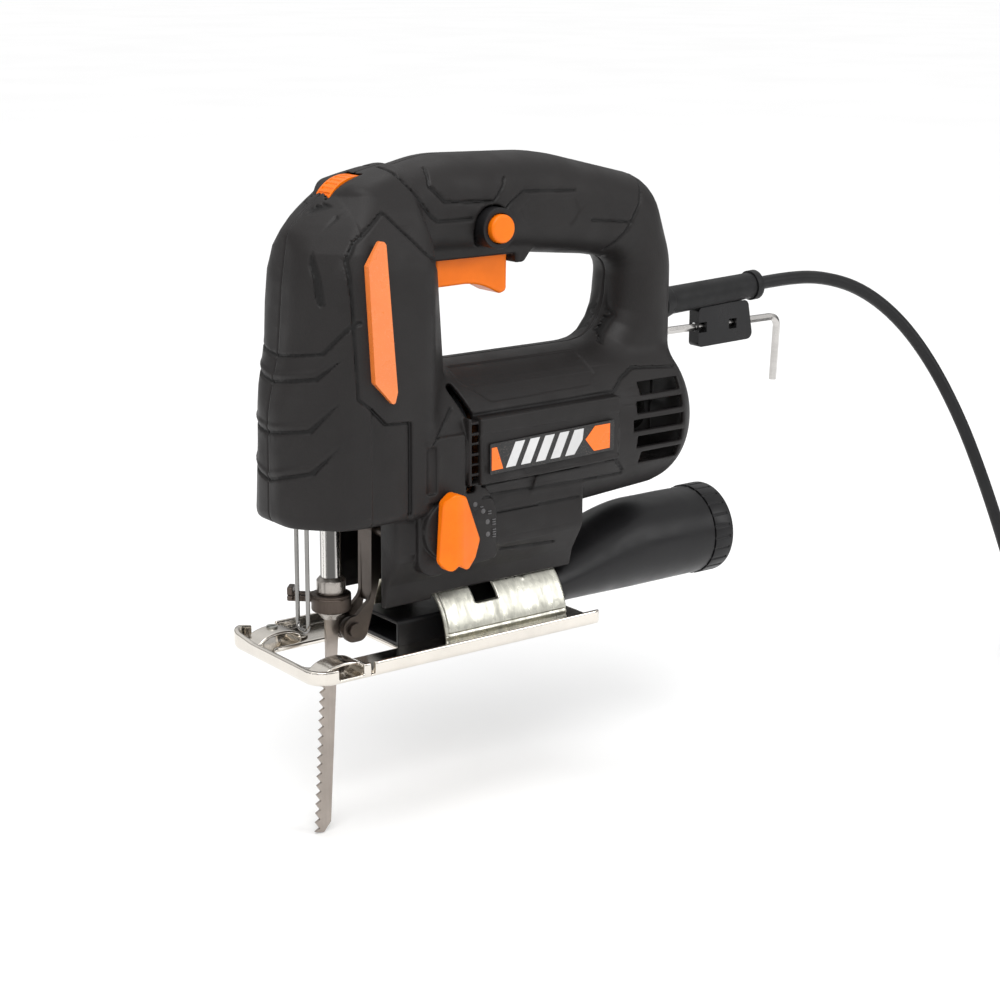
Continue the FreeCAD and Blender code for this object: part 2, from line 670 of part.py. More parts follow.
def make_stator():
    """The field core with its two poles, and the wound coils at its ends."""
    start = D["stator_front"]
    rear = start + D["stator_length"]
    bore = D["armature_radius"] + D["air_gap"]
    ring = along_motor(D["stator_radius"], start, rear).cut(along_motor(bore, start - 1, rear + 1))
    for sign in (-1, 1):
        ring = ring.cut(block(start - 1, rear + 1, -7, 7, MOTOR + (20 if sign > 0 else -24),
                              MOTOR + (24 if sign > 0 else -20)))
    coils = []
    for low, high in ((start - 6, start), (rear, rear + 5)):
        coil = along_motor(25.5, low, high).cut(along_motor(19.5, low - 1, high + 1))
        coils.append(coil)
    return ring, Part.makeCompound(coils)


core, coils = make_stator()
feature("stator_core", core)
feature("field_coils", coils)


def brush_pair():
    """Two brush holders and the carbon brushes inside them."""
    start = D["commutator_front"] + 3
    near = D["commutator_radius"]
    holders = []
    brushes = []
    for sign in (-1, 1):
        low, high = sorted((sign * (near + 2), sign * (near + 17)))
        shell = block(start - 3.4, start + 8, low, high, MOTOR - 5, MOTOR + 5)
        room = block(start, start + 6, low - 1, high + 1, MOTOR - 3, MOTOR + 3)
        holders.append(shell.cut(room))
        low, high = sorted((sign * (near + 0.3), sign * (near + 13)))
        brushes.append(block(start, start + 6, low, high, MOTOR - 3, MOTOR + 3))
    return Part.makeCompound(holders), Part.makeCompound(brushes)


holders, brushes = brush_pair()
feature("brush_holders", holders)
feature("carbon_brushes", brushes)

# ---------------------------------------------------------------- plunger, clamp and blade

YOKE = GEAR_HEIGHT - D["crank_throw"]


def make_plunger():
    """The reciprocating rod with the slotted yoke that the crank pin drives."""
    radius = D["plunger_radius"]
    bar = rod(radius, Vector(0, 0, D["plunger_foot"]), Vector(0, 0, D["plunger_top"]))
    reach = PIN_FRONT - 0.6
    half = D["crank_pin_radius"] + 0.3
    yoke = block(2, reach, -15, 15, YOKE - half - 3, YOKE + half + 3)
    slot = block(6.5, reach + 1, -13.2, 13.2, YOKE - half, YOKE + half)
    return bar.fuse(yoke).cut(slot)


feature("plunger", make_plunger())


def shank_slot():
    return block(-3.6, 3.6, -D["blade_thick"] / 2 - 0.05, D["blade_thick"] / 2 + 0.05, 5, 30)


def make_holder():
    """The blade holder: a polished collar above and the neck that the ring turns on."""
    floor = D["ring_floor"]
    top = floor + D["ring_height"]
    neck = rod(D["holder_radius"], Vector(0, 0, floor - 1), Vector(0, 0, top))
    cone = Part.makeCone(3.7, D["holder_radius"] + 1.6, 3, Vector(0, 0, floor - 3.6))
    collar = rod(D["collar_radius"], Vector(0, 0, top + 0.3), Vector(0, 0, D["plunger_foot"] - 1.4))
    joint = rod(D["holder_radius"], Vector(0, 0, top - 0.1), Vector(0, 0, top + 0.4))
    cap = Part.makeCone(D["collar_radius"], D["plunger_radius"] + 0.4, 1.4,
                        Vector(0, 0, D["plunger_foot"] - 1.4))
    return neck.fuse([cone, collar, joint, cap]).cut(shank_slot())


feature("blade_holder", make_holder())


def make_ring():
    """The knurled clamping ring and its release lever."""
    floor = D["ring_floor"]
    centre = Vector(0, 0, floor)
    ring = rod(D["ring_radius"], centre, Vector(0, 0, floor + D["ring_height"]))
    for index in range(30):
        angle = 2 * math.pi * index / 30
        spot = Vector(D["ring_radius"] * math.cos(angle), D["ring_radius"] * math.sin(angle), floor)
        ring = ring.cut(rod(0.35, spot, spot + Vector(0, 0, D["ring_height"] - 1.5)))
    arm = block(5, 17.5, -1.5, 1.5, floor + 3.2, floor + D["ring_height"])
    tab = block(15.2, 17.6, -3, 3, floor + 3.7, floor + D["ring_height"] + 2.4)
    lever = arm.fuse(tab)
    lever.rotate(Vector(), Vector(0, 0, 1), 138)
    bore = rod(D["holder_radius"] + D["running_gap"], Vector(0, 0, floor - 1),
               Vector(0, 0, floor + 20))
    return ring.fuse(lever).cut(bore)


feature("clamp_ring", make_ring())


def make_blade():
    """A leaning blade with forward-raked teeth, a plain shank and a hooked tip."""
    slope = math.tan(math.radians(D["blade_lean"]))
    width = D["blade_width"]
    tip = -D["blade_tip"]

    def rear(height):
        return D["blade_rear"] + slope * height

    points = [(3.3, 29), (3.3, 20), (rear(13), 13), (rear(tip + 4), tip + 4),
              (rear(tip) - 3.2, tip)]
    height = tip + 0.9
    points.append((rear(height) - width, height))
    while height < -6:
        points.append((rear(height) - width + D["tooth_depth"], height + 1.1))
        height += D["tooth_pitch"]
        points.append((rear(height) - width, height))
    points += [(rear(-2) - width + D["tooth_depth"], -2), (rear(8) - width + 1.6, 8),
               (-3.3, 20), (-3.3, 29)]
    half = D["blade_thick"] / 2
    corners = [Vector(x, -half, z) for x, z in points]
    return Part.Face(Part.makePolygon(corners + corners[:1])).extrude(Vector(0, 2 * half, 0))


feature("blade", make_blade())

# ---------------------------------------------------------------- orbital action

ROLLER_X = D["blade_rear"] + D["roller_height"] * math.tan(math.radians(D["blade_lean"])) \
    + D["roller_gap"] + D["roller_radius"]


def make_roller():
    """The guide roller with a shallow groove for the back of the blade."""
    half = D["roller_width"] / 2
    centre = Vector(ROLLER_X, 0, D["roller_height"])
    side = Vector(0, half, 0)
    wheel = rod(D["roller_radius"], centre - side, centre + side)
    groove = rod(D["roller_radius"] + 1, centre - Vector(0, 0.9, 0), centre + Vector(0, 0.9, 0))
    groove = groove.cut(rod(D["roller_radius"] - 0.9, centre - side, centre + side))
    bore = rod(1.8 + D["running_gap"], centre - side * 2, centre + side * 2)
    return wheel.cut(groove).cut(bore)


def make_fork():
    """The pendulum fork: two cheeks joined by a web, with a collar on its pivot."""
    x = ROLLER_X
    low = D["roller_height"]
    pivot = Vector(D["fork_pivot_place"], 0, D["fork_pivot_height"])
    inner = D["roller_width"] / 2 + 0.4
    outer = inner + D["fork_plate"]
    outline = [(x - 5.2, low - 5.4, 5), (x + 5.2, low - 5.4, 4), (x + 9.8, low + 10, 5),
               (pivot.x + 4, pivot.z - 4, 2), (pivot.x + 4, pivot.z + 4, 3.8),
               (pivot.x - 4, pivot.z + 4, 3.8), (pivot.x - 4.4, low + 12, 6),
               (x + 1, low + 5.6, 3), (x - 5.2, low + 5.4, 5)]
    cheeks = slab(outline, SIDE, -outer, outer)
    cheeks = cheeks.cut(block(-5, 16.4, -inner, inner, 0, 60))
    cheeks = cheeks.cut(block(-5, 30, -inner, inner, 0, 20))
    cheeks = cheeks.cut(rod(2.5 + D["running_gap"], pivot - Vector(0, 20, 0), pivot + Vector(0, 20, 0)))
    return cheeks


feature("guide_roller", make_roller())
feature("pendulum_fork", make_fork())


def make_roller_pin():
    """The roller's axle, with a round head and a hexagon recess on the left."""
    half = D["roller_width"] / 2 + 0.4 + D["fork_plate"]
    centre = Vector(ROLLER_X, 0, D["roller_height"])
    pin = rod(1.8, centre - Vector(0, half, 0), centre + Vector(0, half + 0.6, 0))
    head = rod(3.0, centre - Vector(0, half + 1.6, 0), centre - Vector(0, half, 0))
    return pin.fuse(head)


pin = make_roller_pin()
feature("roller_pin", pin)
fork = next(item for item in NODES if item.Label == "pendulum_fork")
fork.Shape = fork.Shape.cut(pin)
node(cylinder("2.5", "41", "Y", "dim.fork_pivot_place", "-20.5", "dim.fork_pivot_height"),
     "fork_pivot")


def make_lever():
    """The orbital lever: a narrow-topped faceted grip."""
    x = D["lever_place"]
    z = D["lever_height"]
    face = -D["lever_face"]
    outline = [(x - 8.6, z - 11.5, 3), (x - 3.5, z - 15.6, 2.5), (x + 3.2, z - 15.8, 2.5),
               (x + 10.6, z - 7, 2.5), (x + 11, z - 2, 2.5), (x + 4.6, z + 14.5, 3),
               (x - 2, z + 16.5, 3), (x - 7.2, z + 13, 3)]
    grip = slab(outline, SIDE, face - D["lever_thick"], face)
    ridge = x - 1.6
    for sign, drop in ((-1, 3.4), (1, 4.4)):
        wedge = Part.Face(Part.makePolygon([
            Vector(ridge, face - D["lever_thick"], 0),
            Vector(ridge + sign * 14, face - D["lever_thick"] + drop + 1.5, 0),
            Vector(ridge + sign * 14, face - D["lever_thick"] - 2, 0),
            Vector(ridge, face - D["lever_thick"], 0)])).extrude(Vector(0, 0, 200))
        grip = grip.cut(wedge)
    return grip


feature("orbit_lever", make_lever())
node(fuse(
    cylinder("dim.lever_shaft_radius", "dim.lever_face - 9", "Y", "dim.lever_place",
             "-dim.lever_face", "dim.lever_height"),
    box("dim.lever_shaft_radius", "18", "2 * dim.lever_shaft_radius - 2", "dim.lever_place",
        "-9.5", "dim.lever_height - dim.lever_shaft_radius + 1")), "orbit_shaft")

# ---------------------------------------------------------------- controls


def make_dial():
    """The speed wheel with grip notches round its rim and a stub shaft."""
    centre = Vector(D["dial_place"], 0, D["dial_height"])
    half = D["dial_width"] / 2
    wheel = rod(D["dial_radius"], centre - Vector(0, half, 0), centre + Vector(0, half, 0))
    for index in range(40):
        angle = 2 * math.pi * index / 40
        spot = centre + Vector(math.cos(angle), 0, math.sin(angle)) * (D["dial_radius"] + 0.3)
        wheel = wheel.cut(rod(0.7, spot - Vector(0, half - 1.2, 0), spot + Vector(0, half - 1.2, 0)))
    return wheel.fuse(rod(2.5, centre, centre + Vector(0, half + 5, 0)))


feature("speed_dial", make_dial())


def make_speed_board():
    """The speed control: a board with the potentiometer that the dial turns."""
    x = D["dial_place"]
    z = D["dial_height"]
    start = D["dial_width"] / 2 + 1
    pot = block(x - 6, x + 6, start, start + 5.5, z - 6, z + 5)
    board = block(x - 9, x + 22, start + 5.5, start + 7, z - 22, z + 3)
    part = block(x + 6, x + 19, start + 1.5, start + 5.5, z - 20, z - 8)
    shaft = rod(2.5 + D["running_gap"], Vector(x, 0, z), Vector(x, 40, z))
    return pot.fuse([board, part]).cut(shaft)


feature("speed_board", make_speed_board())


def make_trigger():
    """The switch trigger with a hooked rear end, hinged at its front."""
    front = D["trigger_front"]
    rear = D["trigger_rear"]
    floor = D["trigger_floor"]
    outline = [(front, floor + 5.2, 1.5), (front + 21, floor + 5.6, 30), (rear - 3.5, floor, 2.5),
               (rear - 0.2, floor + 1, 2), (rear, 160.5, 1), (front + 8, 160.5, 1),
               (front + 6, 163.2, 2), (front, 163.2, 2)]
    half = D["trigger_width"] / 2
    bar = slab(outline, SIDE, -half, half)
    edges = [edge for edge in bar.Edges if abs(abs(edge.BoundBox.YMin) - half) < 0.01
             and edge.BoundBox.YLength < 0.01 and edge.BoundBox.ZMax < 160]
    bar = bar.makeFillet(1.2, edges)
    return bar.cut(rod(1.6 + D["running_gap"], Vector(front + 3, -20, 160),
                       Vector(front + 3, 20, 160)))


feature("trigger", make_trigger())
node(cylinder("1.6", "dim.trigger_width + 5", "Y", "dim.trigger_front + 3",
              "-dim.trigger_width / 2 - 2.5", "160"), "trigger_pin")
node(middle_box("36", "18", "14", "dim.trigger_front + 6", "166.5"), "power_switch")
feature("trigger_spring", swept([(76, 0, 161.0), (79, 1.5, 162.5), (76, 0, 164.0), (76, 0, 166.4)],
                                0.4)[0])


def make_button():
    """The lock-on button: a domed cap on a stem that reaches the switch."""
    centre = Vector(D["button_place"], 0, D["button_height"])
    face = D["button_face"]
    cap = rod(D["button_radius"], centre - Vector(0, face, 0), centre - Vector(0, face - 8, 0))
    rim = [edge for edge in cap.Edges if abs(edge.BoundBox.YMax + face) < 0.01]
    cap = cap.makeFillet(1.2, rim)
    stem = rod(3, centre - Vector(0, face - 8, 0), centre - Vector(0, 12.5, 0))
    return cap.fuse(stem)


feature("lock_button", make_button())
node(tube("dim.collar_outer", "dim.button_radius + 0.3", "9", "Y", "dim.button_place",
          "-22", "dim.button_height"), "button_collar")

# ---------------------------------------------------------------- sole and bracket

SOLE_FRONT = "-dim.sole_front"
SOLE_REAR = "(dim.sole_length - dim.sole_front)"
EDGE = "(dim.sole_width / 2)"


def make_sole():
    """The pressed steel sole: a tray with turned-up edges, openings and two fence straps."""
    body = DOC.addObject("PartDesign::Body", "Sole")
    front_corner = "dim.sole_front - 7"
    outer = [("-dim.sole_front", "7 - dim.sole_width / 2"), ("-(%s)" % front_corner, "-" + EDGE),
             (SOLE_REAR + " - dim.sole_corner", "-" + EDGE),
             (SOLE_REAR, "dim.sole_corner - dim.sole_width / 2"),
             (SOLE_REAR, EDGE + " - dim.sole_corner"), (SOLE_REAR + " - dim.sole_corner", EDGE),
             ("-(%s)" % front_corner, EDGE), ("-dim.sole_front", EDGE + " - 7")]
    pad(body, sketch(body, "XY_Plane", outer), "dim.sole_lip", both=False)
    sheet = "dim.sole_sheet"
    tray = [("-dim.sole_front + %s" % sheet, "7.8 - dim.sole_width / 2"),
            ("-(%s) + 0.8" % front_corner, "-%s + %s" % (EDGE, sheet)),
            (SOLE_REAR + " - dim.sole_corner - 0.8", "-%s + %s" % (EDGE, sheet)),
            (SOLE_REAR + " + 5", "dim.sole_corner - dim.sole_width / 2 + 5"),
            (SOLE_REAR + " + 5", EDGE + " - dim.sole_corner - 5"),
            (SOLE_REAR + " - dim.sole_corner - 0.8", "%s - %s" % (EDGE, sheet)),
            ("-(%s) + 0.8" % front_corner, "%s - %s" % (EDGE, sheet)),
            ("-dim.sole_front + %s" % sheet, EDGE + " - 7.8")]
    hollow = sketch(body, "XY_Plane", tray)
    hollow.AttachmentOffset = FreeCAD.Placement(Vector(0, 0, 1), FreeCAD.Rotation())
    hollow.setExpression(".AttachmentOffset.Base.z", sheet)
    pocket(body, hollow, "dim.sole_lip", both=False, back=True)
    opening = [("-dim.opening_front", "4 - dim.opening_width / 2"),
               ("-dim.opening_front + 4", "-dim.opening_width / 2"),
               ("dim.opening_rear", "-dim.opening_width / 2"),
               ("dim.opening_rear", "dim.opening_width / 2"),
               ("-dim.opening_front + 4", "dim.opening_width / 2"),
               ("-dim.opening_front", "dim.opening_width / 2 - 4")]
    pocket(body, sketch(body, "XY_Plane", opening), "2.2 * dim.sole_lip")
    window = [("-dim.fence_place - dim.fence_width / 2", sheet),
              ("-dim.fence_place + dim.fence_width / 2", sheet),
              ("-dim.fence_place + dim.fence_width / 2", sheet + " + dim.fence_height"),
              ("-dim.fence_place - dim.fence_width / 2", sheet + " + dim.fence_height")]
    pocket(body, sketch(body, "XZ_Plane", window), "dim.sole_width + 4")
    return body


SOLE = make_sole()
node(SOLE, "sole_plate")


def make_straps():
    """Two bridges that hold the bar of a rip fence down on the sole."""
    straps = []
    half = D["fence_width"] / 2
    low = D["sole_sheet"]
    high = low + D["fence_height"]
    x = -D["fence_place"]
    for sign in (-1, 1):
        near = D["sole_width"] / 2 - D["strap_inset"]
        start, end = sorted((sign * near, sign * (near - D["strap_length"])))
        outline = [(x - half - 4.5, low, 0), (x + half + 4.5, low, 0),
                   (x + half + 3.2, high + 1.5, 1.4), (x - half - 3.2, high + 1.5, 1.4)]
        strap = slab(outline, SIDE, start, end)
        straps.append(strap.cut(block(x - half, x + half, start - 1, end + 1, low - 1, high)))
    return Part.makeCompound(straps)


feature("fence_straps", make_straps())


def make_fence_screw():
    """The knurled screw in the far strap that clamps the fence."""
    x = -D["fence_place"]
    y = D["sole_width"] / 2 - D["strap_inset"] - D["strap_length"] / 2 + 2
    top = D["sole_sheet"] + D["fence_height"] + 1.5
    head = rod(2.4, Vector(x, y, top), Vector(x, y, top + 1.0))
    return head.cut(block(x - 4, x + 4, y - 0.5, y + 0.5, top + 0.5, top + 4))


feature("fence_screw", make_fence_screw())


def ring_sector(radius, thick, start, length, low, high):
    """Part of a tube about the tilt axis, between two angles from straight up."""
    centre = Vector(start, 0, D["tilt_height"])
    shell = rod(radius, centre, centre + Vector(length, 0, 0))
    shell = shell.cut(rod(radius - thick, centre - Vector(1, 0, 0), centre + Vector(length + 1, 0, 0)))
    reach = radius * 3
    fan = [Vector(start, 0, D["tilt_height"])]
    for step in range(9):
        angle = math.radians(low + (high - low) * step / 8)
        fan.append(Vector(start, reach * math.sin(angle), D["tilt_height"] + reach * math.cos(angle)))
    wedge = Part.Face(Part.makePolygon(fan + fan[:1])).extrude(Vector(length, 0, 0))
    return shell.common(wedge)


def make_cradle():
    """The half-round bracket under the housing, with its foot flanges and tilt slots."""
    radius = D["cradle_radius"]
    thick = D["cradle_sheet"]
    start = D["cradle_front"]
    length = D["cradle_length"]
    arch = ring_sector(radius, thick, start, length, -90, 90)
    floor = D["sole_sheet"]
    feet = []
    for sign in (-1, 1):
        low, high = sorted((sign * radius, sign * (radius - thick)))
        feet.append(block(start, start + length, low, high, floor, D["tilt_height"] + 0.4))
        low, high = sorted((sign * (radius + 3.6), sign * (radius - thick)))
        feet.append(block(start + 2, start + length - 2, low, high, floor, floor + 1.2))
    arch = arch.fuse(feet)
    for x in bolt_places():
        width = D["cradle_slot_width"] if x == D["cradle_slot_place"] else 5.6
        arch = arch.cut(ring_sector(radius + 3, thick + 6, x - width / 2, width, -51, 51))
    return arch


feature("tilt_bracket", make_cradle())


def make_saddle():
    """The clamp plate inside the bracket, with the two bolts that pull it up."""
    radius = D["cradle_radius"] - D["cradle_sheet"] - 0.3
    places = bolt_places()
    saddle = ring_sector(radius, 2.2, places[0] - 8, places[-1] - places[0] + 20, -14, 14)
    low = D["tilt_height"] + radius - 2.2
    holes = [rod(2.5, Vector(x, 0, 10), Vector(x, 0, 60)) for x in places]
    seats = [rod(4.4, Vector(x, 0, 10), Vector(x, 0, low)) for x in places]
    bolts = []
    for x in places:
        bolt = rod(2.5, Vector(x, 0, low), Vector(x, 0, 47))
        head = rod(4.4, Vector(x, 0, low - 3.4), Vector(x, 0, low))
        bolts.append(bolt.fuse(head))
    return saddle.cut(holes + seats), Part.makeCompound(bolts)


saddle, bolts = make_saddle()
feature("clamp_saddle", saddle)
feature("clamp_bolts", bolts)


def make_duct():
    """The dust duct: a flat mouth behind the blade and a channel inside the bracket."""
    start = D["duct_front"]
    end = start + D["duct_length"]
    half = D["duct_width"] / 2
    low = D["sole_sheet"]
    high = low + D["duct_height"]
    wall = D["duct_wall"]
    outline = [(-half, low, 0), (half, low, 0), (half, high, 1.5), (-half, high, 1.5)]
    duct = slab(outline, END, start, end)
    return duct.cut(block(start - 1, end + 1, -half + wall, half - wall, low + wall, high - wall))


feature("dust_duct", make_duct())


def loft(sections):
    """A solid through upright ellipses, each (x, half width, half height, z)."""
    wires = []
    for x, half, tall, z in sections:
        points = []
        for step in range(16):
            angle = 2 * math.pi * step / 16
            points.append(Vector(x, half * math.cos(angle), z + tall * math.sin(angle)))
        curve = Part.BSplineCurve()
        curve.interpolate(points, PeriodicFlag=True)
        wires.append(Part.Wire(curve.toShape()))
    return Part.makeLoft(wires, True)


def make_tube():
    """The dust tube, which swells from the bracket's arch to a round outlet."""
    start = D["tube_start"]
    end = D["tube_end"]
    radius = D["tube_radius"]
    axis = D["tube_height"]
    straight = D["tube_straight"]

    def section(x, inset):
        share = min(max((x - start) / (straight - start), 0), 1)
        blend = share * share * (3 - 2 * share)
        tall = D["tube_mouth"] + (radius - D["tube_mouth"]) * blend
        middle = D["tube_mouth"] + 3 + (axis - D["tube_mouth"] - 3) * blend
        return x, radius - 0.3 + 0.3 * blend - inset, tall - inset, middle

    def outline(inset, lead):
        ends = [start - lead] + [start + 9 * step for step in range(1, 11)] + [end + lead]
        return [section(x, inset) for x in ends]

    return loft(outline(0, 0)).cut(loft(outline(D["tube_wall"], 1)))


feature("dust_tube", make_tube())


def make_cap():
    """The outlet ring with finger facets, which takes a vacuum hose."""
    start = D["tube_end"] + 0.3
    end = start + D["cap_length"]
    axis = D["tube_height"]
    centre = Vector(start, 0, axis)
    ring = rod(D["cap_radius"], centre, Vector(end, 0, axis))
    edge = [item for item in ring.Edges if abs(item.BoundBox.XMin - end) < 0.01
            and item.BoundBox.XLength < 0.01]
    ring = ring.makeFillet(1.6, edge)
    for index in range(24):
        angle = 2 * math.pi * index / 24
        spot = Vector(start - 1, math.cos(angle) * (D["cap_radius"] + 0.5),
                      axis + math.sin(angle) * (D["cap_radius"] + 0.5))
        ring = ring.cut(rod(0.9, spot, spot + Vector(D["cap_length"] - 1.5, 0, 0)))
    spigot = rod(D["tube_radius"] - D["tube_wall"] - 0.3, centre - Vector(D["cap_spigot"], 0, 0), centre)
    return ring.fuse(spigot).cut(rod(D["cap_bore"], centre - Vector(20, 0, 0), Vector(end + 1, 0, axis)))


feature("dust_cap", make_cap())

# ---------------------------------------------------------------- guard, boot, key and cord


def make_guard():
    """The bent wire in front of the blade clamp."""
    x = -D["guard_place"]
    half = D["guard_spread"] / 2
    top = D["head_bottom"] + 9
    floor = D["guard_floor"]
    points = [(x, -half, top), (x, -half, floor), (x, half, floor), (x, half, top)]
    return swept(points, D["guard_wire"], 0.4)[0]


feature("wire_guard", make_guard())


def make_boot():
    """The flexible sleeve where the cord leaves the column."""
    radius = D["boot_radius"]
    start = BOOT_START
    run = BOOT_END - start
    sleeve = Part.makeCone(radius, radius - 0.4, run.Length, start, run)
    collar = Part.makeCone(radius + 2.2, radius + 0.4, 6, Vector(D["barrel_rear"] + 0.2, 0,
                           D["boot_height"] + 0.3), run)
    lip = Part.makeCylinder(radius + 0.5, 3.5, BOOT_END - run.normalize() * 3.5, run)
    flange = rod(radius + 2.4, start, start + Vector(2.9, 0, 0))
    return sleeve.fuse([collar, lip, flange])


feature("cord_boot", make_boot())


def make_clip():
    """The rubber hanger under the boot, with two windows and a hole for the key."""
    z = D["key_height"]
    outline = [(192.5, z - 8.8, 2), (225.5, z - 8, 3), (222, z + 10, 3), (192.5, z + 9, 2)]
    web = slab(outline, SIDE, -3.2, 3.2)
    windows = [block(x - 2.3, x + 2.3, -5, 5, z - 2.3, z + 2.3) for x in (195, 213)]
    hole = rod(D["key_size"] / 2 + 0.45, Vector(180, 0, z), Vector(230, 0, z))
    sleeve = rod(D["boot_radius"] + 0.02, BOOT_START, BOOT_END)
    return web.cut([hole, sleeve] + windows)


feature("key_clip", make_clip())


def make_key():
    """The hexagon key: a long arm, a tight bend and a short arm."""
    z = D["key_height"]
    across = D["key_size"] / 2
    path, _ = smooth_path([(D["key_front"], 0, z), (D["key_rear"], 0, z),
                           (D["key_rear"] - 1.5, 0, z - D["key_drop"])], 0.16)
    corner = across / math.cos(math.pi / 6)
    ring = [Vector(D["key_front"], corner * math.cos(math.radians(60 * i)),
                   z + corner * math.sin(math.radians(60 * i))) for i in range(6)]
    profile = Part.makePolygon(ring + ring[:1])
    return path.makePipeShell([profile], True, True)


feature("hex_key", make_key())

CORD_POINTS = [
    (229.0, 0.0, 130.1), (248.0, 0.0, 131.2), (270.0, -1.0, 130.0), (293.0, -4.0, 123.0),
    (314.0, -9.0, 108.0), (331.0, -16.0, 86.0), (344.0, -25.0, 58.0), (354.0, -32.0, 30.0),
    (363.0, -38.0, 2.0), (371.0, -44.0, -27.0), (379.0, -53.0, -52.0), (387.0, -66.0, -68.0),
    (399.0, -79.0, -73.2), (414.2, -88.6, -73.4),
]
cord, path, radii = swept(CORD_POINTS, D["cord_radius"])
feature("cord", cord)
print("cord", round(path.Length, 1), "mm, radii", [round(r) for r in radii])
print("cord volume", round(cord.Volume), "of", round(path.Length * math.pi * D["cord_radius"] ** 2))

FLOOR = -D["blade_tip"]
COIL = Vector(434.0, -48.0, FLOOR + 1.2)
CORD = 2 * D["cord_radius"]
COIL_INNER = D["coil_radius"] - 1.5 * CORD
COIL_OUTER = D["coil_radius"] + 1.5 * CORD


def annulus(inner, outer, low, high):
    """A flat ring about the coil's centre."""
    foot = Vector(COIL.x, COIL.y, low)
    ring = rod(outer, foot, foot + Vector(0, 0, high - low))
    return ring.cut(rod(inner, foot - Vector(0, 0, 1), foot + Vector(0, 0, high - low + 1)))


COIL_TOP = COIL.z + 3 * CORD
feature("cord_coil", annulus(COIL_INNER, COIL_OUTER, COIL.z, COIL_TOP))
strap = annulus(COIL_INNER - 1, COIL_OUTER + 1, COIL.z - 1, COIL_TOP + 1)
strap = strap.cut(annulus(COIL_INNER - 0.1, COIL_OUTER + 0.1, COIL.z - 0.1, COIL_TOP + 0.1))
feature("coil_tie", strap.common(block(COIL.x - 60, COIL.x - 10, COIL.y - 4, COIL.y + 4, -90, 0)))


def make_plug():
    """A moulded two-pin mains plug that lies on the coil, and its pins."""
    x = COIL.x + D["coil_radius"] - 3
    z = COIL_TOP + 0.3 + D["plug_height"] / 2
    rear = COIL.y + 5.5
    front = rear + 40
    half = D["plug_width"] / 2
    outline = [(x - 8, rear, 2), (x + 8, rear, 2), (x + half, rear + 14, 10), (x + half, front, 3),
               (x - half, front, 3), (x - half, rear + 14, 10)]
    low = z - D["plug_height"] / 2
    body = slab(outline, PLAN, low, low + D["plug_height"])
    edges = [edge for edge in body.Edges if edge.BoundBox.ZLength < 0.01]
    body = body.makeFillet(2.2, edges)
    relief = Part.makeCone(6.2, 4.2, 18, Vector(x, rear, z), Vector(0, -1, -0.25))
    pins = [rod(2.4, Vector(x + side, front, z), Vector(x + side, front + 19, z)) for side in (-9.5, 9.5)]
    return body.fuse(relief.cut(block(x - 20, x + 20, rear, rear + 20, -90, 0))), pins


plug_body, plug_pins = make_plug()
feature("plug", plug_body)
feature("plug_pins", Part.makeCompound(plug_pins))

# ---------------------------------------------------------------- checks and files


def finish():
    """Recompute, refuse any failed object, and write each sub-part to its own file."""
    DOC.recompute()
    for obj in DOC.Objects:
        for word in ("Invalid", "Error"):
            if word in obj.State:
                raise RuntimeError("%s failed: %s" % (obj.Label, obj.State))
    os.makedirs("parts", exist_ok=True)
    for obj in NODES:
        if obj.Shape.isNull() or not obj.Shape.isValid() or not obj.Shape.Solids:
            raise RuntimeError(obj.Label + " has no sound shape")
    for obj in NODES:
        obj.Shape.exportStep("parts/%s.step" % obj.Label)
    print(len(NODES), "sub-parts written")


finish()
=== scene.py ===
"""A corded jigsaw: the look of every part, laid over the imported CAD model."""

import bmesh
import bpy
import numpy as np
from mathutils import Matrix, Vector


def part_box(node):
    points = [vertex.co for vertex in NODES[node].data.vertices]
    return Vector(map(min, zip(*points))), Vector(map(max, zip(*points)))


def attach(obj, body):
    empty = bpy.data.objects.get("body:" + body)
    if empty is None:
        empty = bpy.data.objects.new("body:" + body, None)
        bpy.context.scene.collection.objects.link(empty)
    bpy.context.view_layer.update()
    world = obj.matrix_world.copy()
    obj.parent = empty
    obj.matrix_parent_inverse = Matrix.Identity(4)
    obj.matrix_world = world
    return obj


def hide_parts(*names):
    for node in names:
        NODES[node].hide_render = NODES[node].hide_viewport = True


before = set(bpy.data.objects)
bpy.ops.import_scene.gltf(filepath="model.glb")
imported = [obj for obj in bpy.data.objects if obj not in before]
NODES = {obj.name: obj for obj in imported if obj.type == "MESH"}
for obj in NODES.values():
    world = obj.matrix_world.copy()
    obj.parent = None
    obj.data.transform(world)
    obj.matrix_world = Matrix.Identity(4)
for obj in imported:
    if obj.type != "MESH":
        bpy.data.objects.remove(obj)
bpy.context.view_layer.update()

bl_info = {
    "name": "Corded jigsaw",
    "version": (1, 0, 0),
    "blender": (4, 5, 0),
    "location": "3D View > Sidebar > Jigsaw",
    "description": "Builds the moulded housing, cord, finishes and studio of a corded jigsaw",
    "category": "Object",
}

MM = 0.001

# Lengths below are in millimetres in the tool's own frame: x runs to the rear, y to the right of the
# tool, z up, and the origin is on the blade's line at the underside of the sole.
MOTOR_HEIGHT = 82.5
GRIP_HALF = 17.5
FLOOR_HEIGHT = -76.4

# ------------------------------------------------------------------ distance fields


